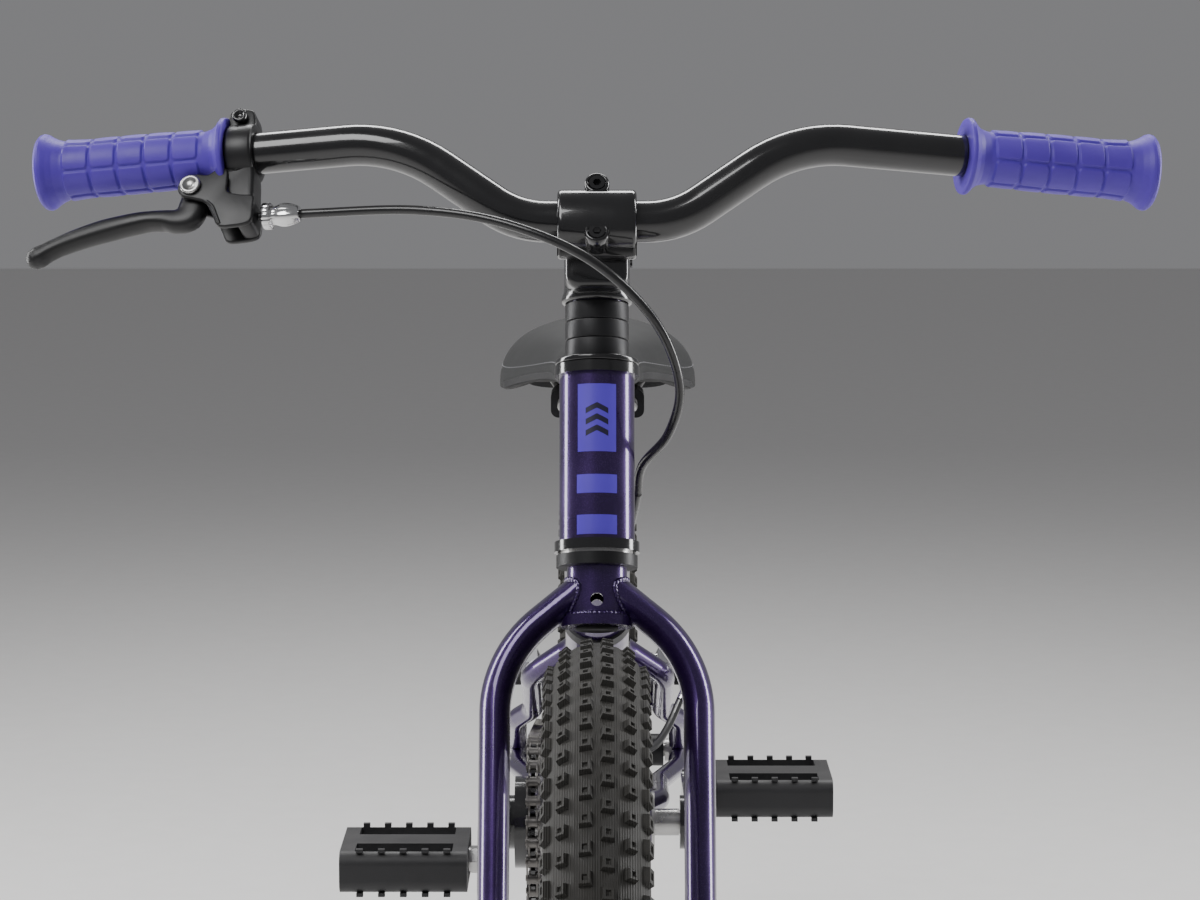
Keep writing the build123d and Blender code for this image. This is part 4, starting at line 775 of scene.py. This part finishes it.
# %% Shape the stem
back_curve = [(20.0 * sin(a),
               -1.2 - 14.4 * abs(cos(a)) ** 0.72) for a in np.radians(np.linspace(89, -89, 80))]
back_groove = [(bar_skin * sin(a),
                min(-bar_skin * cos(a), -1.2)) for a in np.radians(np.linspace(-89, 89, 40))]
stem_axes = (across, steer_up, steer_back)
sleeve = [(128.4, 14.5), (128.4, 17.6), (128.9, 18.6), (130.0, 19.0), (131.6, 18.9), (134.5, 18.0),
          (139, 17.6),
          (155, 17.7), (162, 18.2), (165, 18.6), (166.0, 18.2), (166.4, 17.2), (166.4, 14.5)]
sleeve_angles = np.linspace(0, 2 * pi, 128, endpoint=False)
sleeve_points = [head_foot + steer_up * u + np.outer(r * np.cos(sleeve_angles), across)
                 + np.outer(r * np.sin(sleeve_angles), steer_back) for u, r in sleeve]


def neck_outline(half, low, high, corner):
    """A rectangle with corners of one radius, as points round it."""
    corners = ((half - corner, high - corner, 0), (-half + corner, high - corner, 90),
               (-half + corner, low + corner, 180), (half - corner, low + corner, 270))
    return [(x + corner * cos(radians(turn + a)), y + corner * sin(radians(turn + a)))
            for x, y, turn in corners for a in range(0, 91, 15)]


stem_pieces = [
    soft_slab("stem_back", back_curve + back_groove, -20.9, 20.9, 2.0, clamp_middle, face_axes, black_gloss,
              "steering"),
    mesh_object("stem_sleeve", np.concatenate(sleeve_points), grid_faces(len(sleeve), 128, True, True),
                black_gloss, "steering", flip=True),
    soft_slab("stem_neck", neck_outline(17.0, 130.6, 164.0, 8.0), -33.0, -8.0, 4.5, head_foot, stem_axes,
              black_gloss, "steering"),
    soft_slab("stem_ear_left", neck_outline(6.3, 131.0, 164.0, 4.0), 14.8, 25.8, 2.0,
              head_foot + across * 7.7,
              stem_axes, black_gloss, "steering"),
    soft_slab("stem_ear_right", neck_outline(6.3, 131.0, 164.0, 4.0), 14.8, 25.8, 2.0,
              head_foot - across * 7.7,
              stem_axes, black_gloss, "steering"),
]
for piece in stem_pieces:
    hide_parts("stem")
print("stem pieces:", len(stem_pieces))

# %% [markdown]
# ## Headset
# The dust cover and spacers are turned rings with rounded rims, so a fine dark line shows wherever two meet.

# %% Turn the dust cover and spacers
def ring(name, low, high, inner, outer, corner, material, body, node, slot, taper=0.0):
    """A ring round the steerer with rounded outer rims; its lower rim may be narrower by taper."""
    arc = np.radians([0, 22, 45, 68, 90])
    section = [(low, inner)]
    section += [(low + corner * (1 - cos(a)), outer - taper - corner * (1 - sin(a))) for a in arc]
    section += [(high - corner * (1 - sin(a)), outer - corner * (1 - cos(a))) for a in arc]
    section += [(high, inner)]
    spin = np.linspace(0, 2 * pi, 128, endpoint=False)
    points = [head_foot + steer_up * u + np.outer(r * np.cos(spin), across)
              + np.outer(r * np.sin(spin), steer_back) for u, r in section]
    piece = mesh_object(name, np.concatenate(points), grid_faces(len(section), 128, True, True), material,
                        body,
                        flip=True)
    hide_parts(node)
    return piece


spacer_base = 89 + 9.0
ring("dust_cover", 94.8, spacer_base, 14.4, 22.3, 1.0, black_gloss, "steering", "headset_spacers",
     "satin_black")
for k in range(3):
    base = spacer_base + 0.1 + 10.05 * k
    ring(f"spacer_{k}", base, base + 9.95, 14.4, 17.0, 0.7, satin_black, "steering", "headset_spacers",
         "satin_black")
plug = turned("steerer_plug", [(0.0, 11.0), (0.9, 11.6), (1.6, 11.0), (1.9, 9.0), (1.2, 8.2), (1.2, 0.3)],
              on_steerer(0, 0, -45), -steer_up, 64, dark_rubber, "steering")
print("rings: 4, and a plug under the crown")

# %% [markdown]
# ## Saddle
# The cover is one padded shell: a narrow nose, broad low wings and a crowned top. A stitched seam
# runs near its lower edge, which tucks under the base.

# %% Shape the saddle
saddle_front, saddle_back, saddle_top = 27.0, 262.0, 529.0


def smooth_value(s, knots, values):
    """Cubic Hermite through the knots with slopes from neighbouring points."""
    knots, values = np.array(knots), np.array(values)
    slopes = np.gradient(values, knots)
    i = np.clip(np.searchsorted(knots, s) - 1, 0, len(knots) - 2)
    h = knots[i + 1] - knots[i]
    t = (s - knots[i]) / h
    first = (2 * t**3 - 3 * t**2 + 1) * values[i] + (t**3 - 2 * t**2 + t) * h * slopes[i]
    return first + (3 * t**2 - 2 * t**3) * values[i + 1] + (t**3 - t**2) * h * slopes[i + 1]


def half_width(s):
    """Half the saddle's width at s from nose 0 to tail 1."""
    knots = [0.0, 0.02, 0.06, 0.12, 0.25, 0.40, 0.55, 0.68, 0.80, 0.90, 0.96, 0.99, 1.0]
    widths = [3.0, 11.0, 18.5, 22.5, 26.0, 31.0, 44.0, 57.0, 64.5, 62.0, 52.0, 38.0, 22.0]
    return smooth_value(s, knots, widths)


def saddle():
    """x = w sin(a)^0.8 and z = top - depth (1 - cos(a)^0.85), then a tuck under the rim."""
    lengths = np.concatenate([np.linspace(0, 0.06, 14), np.linspace(0.07, 0.93, 90),
                              np.linspace(0.94, 1, 16)])
    over = np.linspace(-1, 1, 121)
    points = []
    for s in lengths:
        w = max(float(half_width(s)), 1.0)
        top = saddle_top - 5.0 * (1 - smoothstep(0.0, 0.16, s)) ** 2 - 3.0 * np.exp(-((s - 0.45) / 0.2) ** 2)
        top -= 9.0 * smoothstep(0.93, 1.0, s) ** 2 + 9.0 * (1 - smoothstep(0.0, 0.05, s)) ** 2
        depth = 24.0 + 20.0 * smoothstep(0.35, 0.78, s) - 4.0 * smoothstep(0.9, 1.0, s)
        depth -= 8.0 * (1 - smoothstep(0.0, 0.06, s))
        y = saddle_front + (saddle_back - saddle_front) * s
        row = []
        for t in over:
            a = abs(t) * pi / 2
            x = w * sin(a) ** 0.80
            z = top - depth * (1 - max(cos(a), 0) ** 0.85)
            seam = np.exp(-((abs(t) - 0.865) / 0.012) ** 2) * 0.4
            piping = np.exp(-((abs(t) - 0.892) / 0.012) ** 2) * 0.1
            x -= (seam - piping) * sin(a)
            row.append((np.sign(t) * x, y, z))
        for inset, lift in ((2.0, -1.0), (5.0, 0.5), (9.0, 4.0)):
            row.append((max(w - inset, 0.3), y, top - depth + lift))
        for inset, lift in ((9.0, 4.0), (5.0, 0.5), (2.0, -1.0)):
            row.append((-max(w - inset, 0.3), y, top - depth + lift))
        points += row
    columns = len(over) + 6
    faces = grid_faces(len(lengths), columns, False, True)
    faces.append(tuple(range(columns)))
    faces.append(tuple(reversed(range(columns * (len(lengths) - 1), columns * len(lengths)))))
    return np.array(points), faces


saddle_points, saddle_faces = saddle()
cover = mesh_object("saddle_cover_shell", saddle_points, saddle_faces, saddle_cover, "seat")
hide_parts("saddle_pad")
print("saddle height", round(float(saddle_points[:, 2].max()), 1), "mm")


# %% [markdown]
# ## Stitching
# Short raised stitches follow the seam, a few millimetres apart, on both sides of the saddle.

# %% Sew the seam
def stitches():
    """Small capsules along the seam line, each lying along the saddle's edge."""
    points, faces = [], []
    spots = np.linspace(0.07, 0.93, 62)
    for sign in (-1, 1):
        for s in spots:
            ends = []
            for ds in (-0.0048, 0.0048):
                w = float(half_width(s + ds))
                a = 0.835 * pi / 2
                top = saddle_top - 3.0 * np.exp(-((s + ds - 0.45) / 0.2) ** 2)
                top -= 5.0 * (1 - smoothstep(0.0, 0.16, s + ds)) ** 2
                depth = 24.0 + 20.0 * smoothstep(0.35, 0.78, s + ds) - 4.0 * smoothstep(0.9, 1.0, s + ds)
                y = saddle_front + (saddle_back - saddle_front) * (s + ds)
                ends.append((sign * w * sin(a) ** 0.8, y, top - depth * (1 - cos(a) ** 0.85)))
            first, last = np.array(ends[0]), np.array(ends[1])
            path = first + np.outer(np.linspace(0, 1, 5), last - first)
            rings = carried_rings(path, np.array([0.05, 0.34, 0.42, 0.34, 0.05]), 6)
            start = len(points)
            points += list(rings)
            faces += grid_faces(5, 6, False, True, start)
    return points, faces


stitch_points, stitch_faces = stitches()
thread = mesh_object("saddle_stitches", stitch_points, stitch_faces, soft_grey, "seat", flip=True)
print("stitches:", len(stitch_faces) // 24)


# %% [markdown]
# ## Weld beads
# Where two tubes meet, the weld follows the curve in which they cut. The bead's radius swells and
# shrinks in even ripples, as the welder's pauses leave it.

# %% Lay the welds
def crossing(centre, along, radii, other_centre, other_along, other_radius, count):
    """Points on an oval tube's skin that are other_radius from the other tube's axis."""
    along, other_along = unit(along), unit(other_along)
    side = unit(np.cross(along, other_along))
    up = np.cross(along, side)
    found = []
    for angle in np.linspace(0, 2 * pi, count, endpoint=False):
        start = centre + radii[0] * cos(angle) * side + radii[1] * sin(angle) * up
        gap = start - other_centre
        a_flat = along - other_along * np.dot(along, other_along)
        g_flat = gap - other_along * np.dot(gap, other_along)
        qa, qb = np.dot(a_flat, a_flat), 2 * np.dot(a_flat, g_flat)
        qc = np.dot(g_flat, g_flat) - other_radius**2
        root = max(qb * qb - 4 * qa * qc, 0.0)
        found.append(start + along * (-qb + sqrt(root)) / (2 * qa))
    return np.array(found)


def weld(name, path, body, size=1.7):
    """A closed bead: radius = size (0.80 + 0.20 |cos|) with a ripple every 2.4 millimetres."""
    spans = np.linalg.norm(np.roll(path, -1, axis=0) - path, axis=1)
    walked = np.concatenate([[0], np.cumsum(spans)[:-1]])
    total = spans.sum()
    ripples = max(8, round(total / 2.4))
    even = np.linspace(0, total, ripples * 6, endpoint=False)
    closed = np.vstack([path, path[:1]])
    line = np.concatenate([walked, [total]])
    track = np.stack([np.interp(even, line, closed[:, k]) for k in range(3)], axis=1)
    swell = size * (0.80 + 0.20 * np.abs(np.cos(pi * ripples * even / total)))
    rings = carried_rings(track, swell, 10, closed=True)
    piece = mesh_object(name, rings, grid_faces(len(track), 10, True, True), weld_paint, body, flip=True)
    return piece


seat_lean = unit([0, cos(radians(72)), sin(radians(72))])
down_start, top_start = on_steerer(0, 0, 29.5), on_steerer(0, 0, 64)
top_end = np.array([0, 75.88 + (368 - 221) * cos(radians(72)) / sin(radians(72)), 368])
beads = [
    ("weld_down_head", down_start, bracket - down_start, (18, 18), down_start, steer_up, 20),
    ("weld_top_head", top_start, top_end - top_start, (15.9, 15.9), top_start, steer_up, 20),
    ("weld_top_seat", top_end, top_start - top_end, (15.9, 15.9), top_end, seat_lean, 15.9),
    ("weld_down_bracket", bracket, down_start - bracket, (18, 18), bracket, across, 21),
    ("weld_seat_bracket", bracket, seat_lean, (15.9, 15.9), bracket, across, 21),
]
for name, centre, along, radii, other_centre, other_along, other_radius in beads:
    weld(name, crossing(centre, along, radii, other_centre, other_along, other_radius, 96), "frame")
for sign, word in ((-1, "right"), (1, "left")):
    leg_start = on_steerer(0, 0, -17.6)
    leg_along = on_steerer(sign * 53.5, 0, -61.0) - leg_start
    track = crossing(leg_start, leg_along, (13.0, 8.25), head_foot, steer_up, 16.0, 96)
    weld(f"weld_leg_{word}", track, "steering", 1.5)
collar = [on_steerer(16.6 * cos(a), 16.6 * sin(a), -39.4) for a in np.linspace(0, 2 * pi, 96, endpoint=False)]
weld("weld_collar", np.array(collar), "steering", 1.9)
print("welds:", len(beads) + 3)

# %% [markdown]
# ## Head tube stickers
# Thin patches wrap the head tube's front: a tall badge with plain chevrons, and two stripes under it.

# %% Wrap the stickers
def patch(name, low, high, arc_low, arc_high, lift, material, bend=0.0):
    """A patch on the head tube: radius 20 + lift, its height shifted by bend |arc| for a chevron."""
    rows, columns = 12, 28
    points = []
    for up in np.linspace(low, high, rows):
        for arc in np.linspace(arc_low, arc_high, columns):
            angle = arc / 20.0
            radius = 20.0 + lift
            points.append(on_steerer(radius * sin(angle), -radius * cos(angle), up + bend * abs(arc)))
    piece = mesh_object(name, points, grid_faces(rows, columns, False, False), material, "frame", flip=True)
    return piece


patch("badge", 45.8, 82, -10.5, 10.5, 0.10, sticker)
for k in range(3):
    patch(f"badge_chevron_{k}", 57 + 6 * k, 60 + 6 * k, -6.0, 6.0, 0.16, sticker_dark, bend=-0.5)
for k in range(2):
    patch(f"stripe_{k}", 2.0 + 21.8 * k, 12.3 + 21.4 * k, -11, 11, 0.10, sticker)
print("stickers: 6 patches")

# %% [markdown]
# ## Bellows boot
# The straddle wire runs through a ribbed rubber boot beside the noodle.

# %% Turn the boot
boot_stations = np.linspace(36.5, 11.5, 90)
boot_path = wire_place + np.outer(boot_stations, across)
boot_radii = 2.6 + 0.9 * np.abs(np.cos(pi * (boot_stations - 11.5) / 4.2)) ** 0.6
boot_rings = carried_rings(boot_path, boot_radii, 24)
boot = mesh_object("bellows_boot", boot_rings, grid_faces(90, 24, False, True), soft_grey, "left_brake",
                   flip=True)
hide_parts("cable_boot")
print("boot length 25 mm")

# %% [markdown]
# ## Studio
# A pale floor, a broad soft key from above, one light behind, and two tall side lights that draw the
# bright edges down the dark tubes.

# %% Light the bike
floor_mesh = bpy.data.meshes.new("floor")
floor_mesh.from_pydata([(-6, -6, 0), (6, -6, 0), (6, 9, 0), (-6, 9, 0)], [], [(0, 1, 2, 3)])
floor = bpy.data.objects.new("floor", floor_mesh)
bpy.context.scene.collection.objects.link(floor)
floor_finish = finish("floor", (0.74, 0.73, 0.72), (0.79, 0.78, 0.77), 0.8, 0.05, dust=0.0)
floor_mesh.materials.append(floor_finish)
floor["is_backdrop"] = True

world = bpy.data.worlds.new("studio")
world.use_nodes = True
world.node_tree.nodes["Background"].inputs["Color"].default_value = (0.66, 0.66, 0.68, 1)
world.node_tree.nodes["Background"].inputs["Strength"].default_value = 0.32
bpy.context.scene.world = world


def softbox(name, place, target, width, height, power):
    """An area light that looks at a point."""
    data = bpy.data.lights.new(name, "AREA")
    data.shape = "RECTANGLE"
    data.size, data.size_y, data.energy = width, height, power
    light = bpy.data.objects.new(name, data)
    light.location = place
    light.rotation_euler = (Vector(target) - Vector(place)).to_track_quat("-Z", "Y").to_euler()
    bpy.context.scene.collection.objects.link(light)


softbox("key", (-1.2, -1.6, 2.4), (0, -0.2, 0.45), 1.6, 1.2, 42)
softbox("left_edge", (-1.5, 0.3, 0.9), (0, -0.3, 0.45), 0.35, 1.8, 26)
softbox("right_edge", (1.5, 0.2, 0.9), (0, -0.3, 0.45), 0.35, 1.8, 30)
softbox("top_back", (0, 1.3, 2.2), (0, 0, 0.5), 1.8, 0.6, 34)
print("lights:", len(bpy.data.lights))

# %% Finish
final_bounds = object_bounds()
sizes = {
    "cad": [[float(v) for v in corner] for corner in cad_bounds],
    "visual": [[float(v) for v in corner] for corner in final_bounds],
}
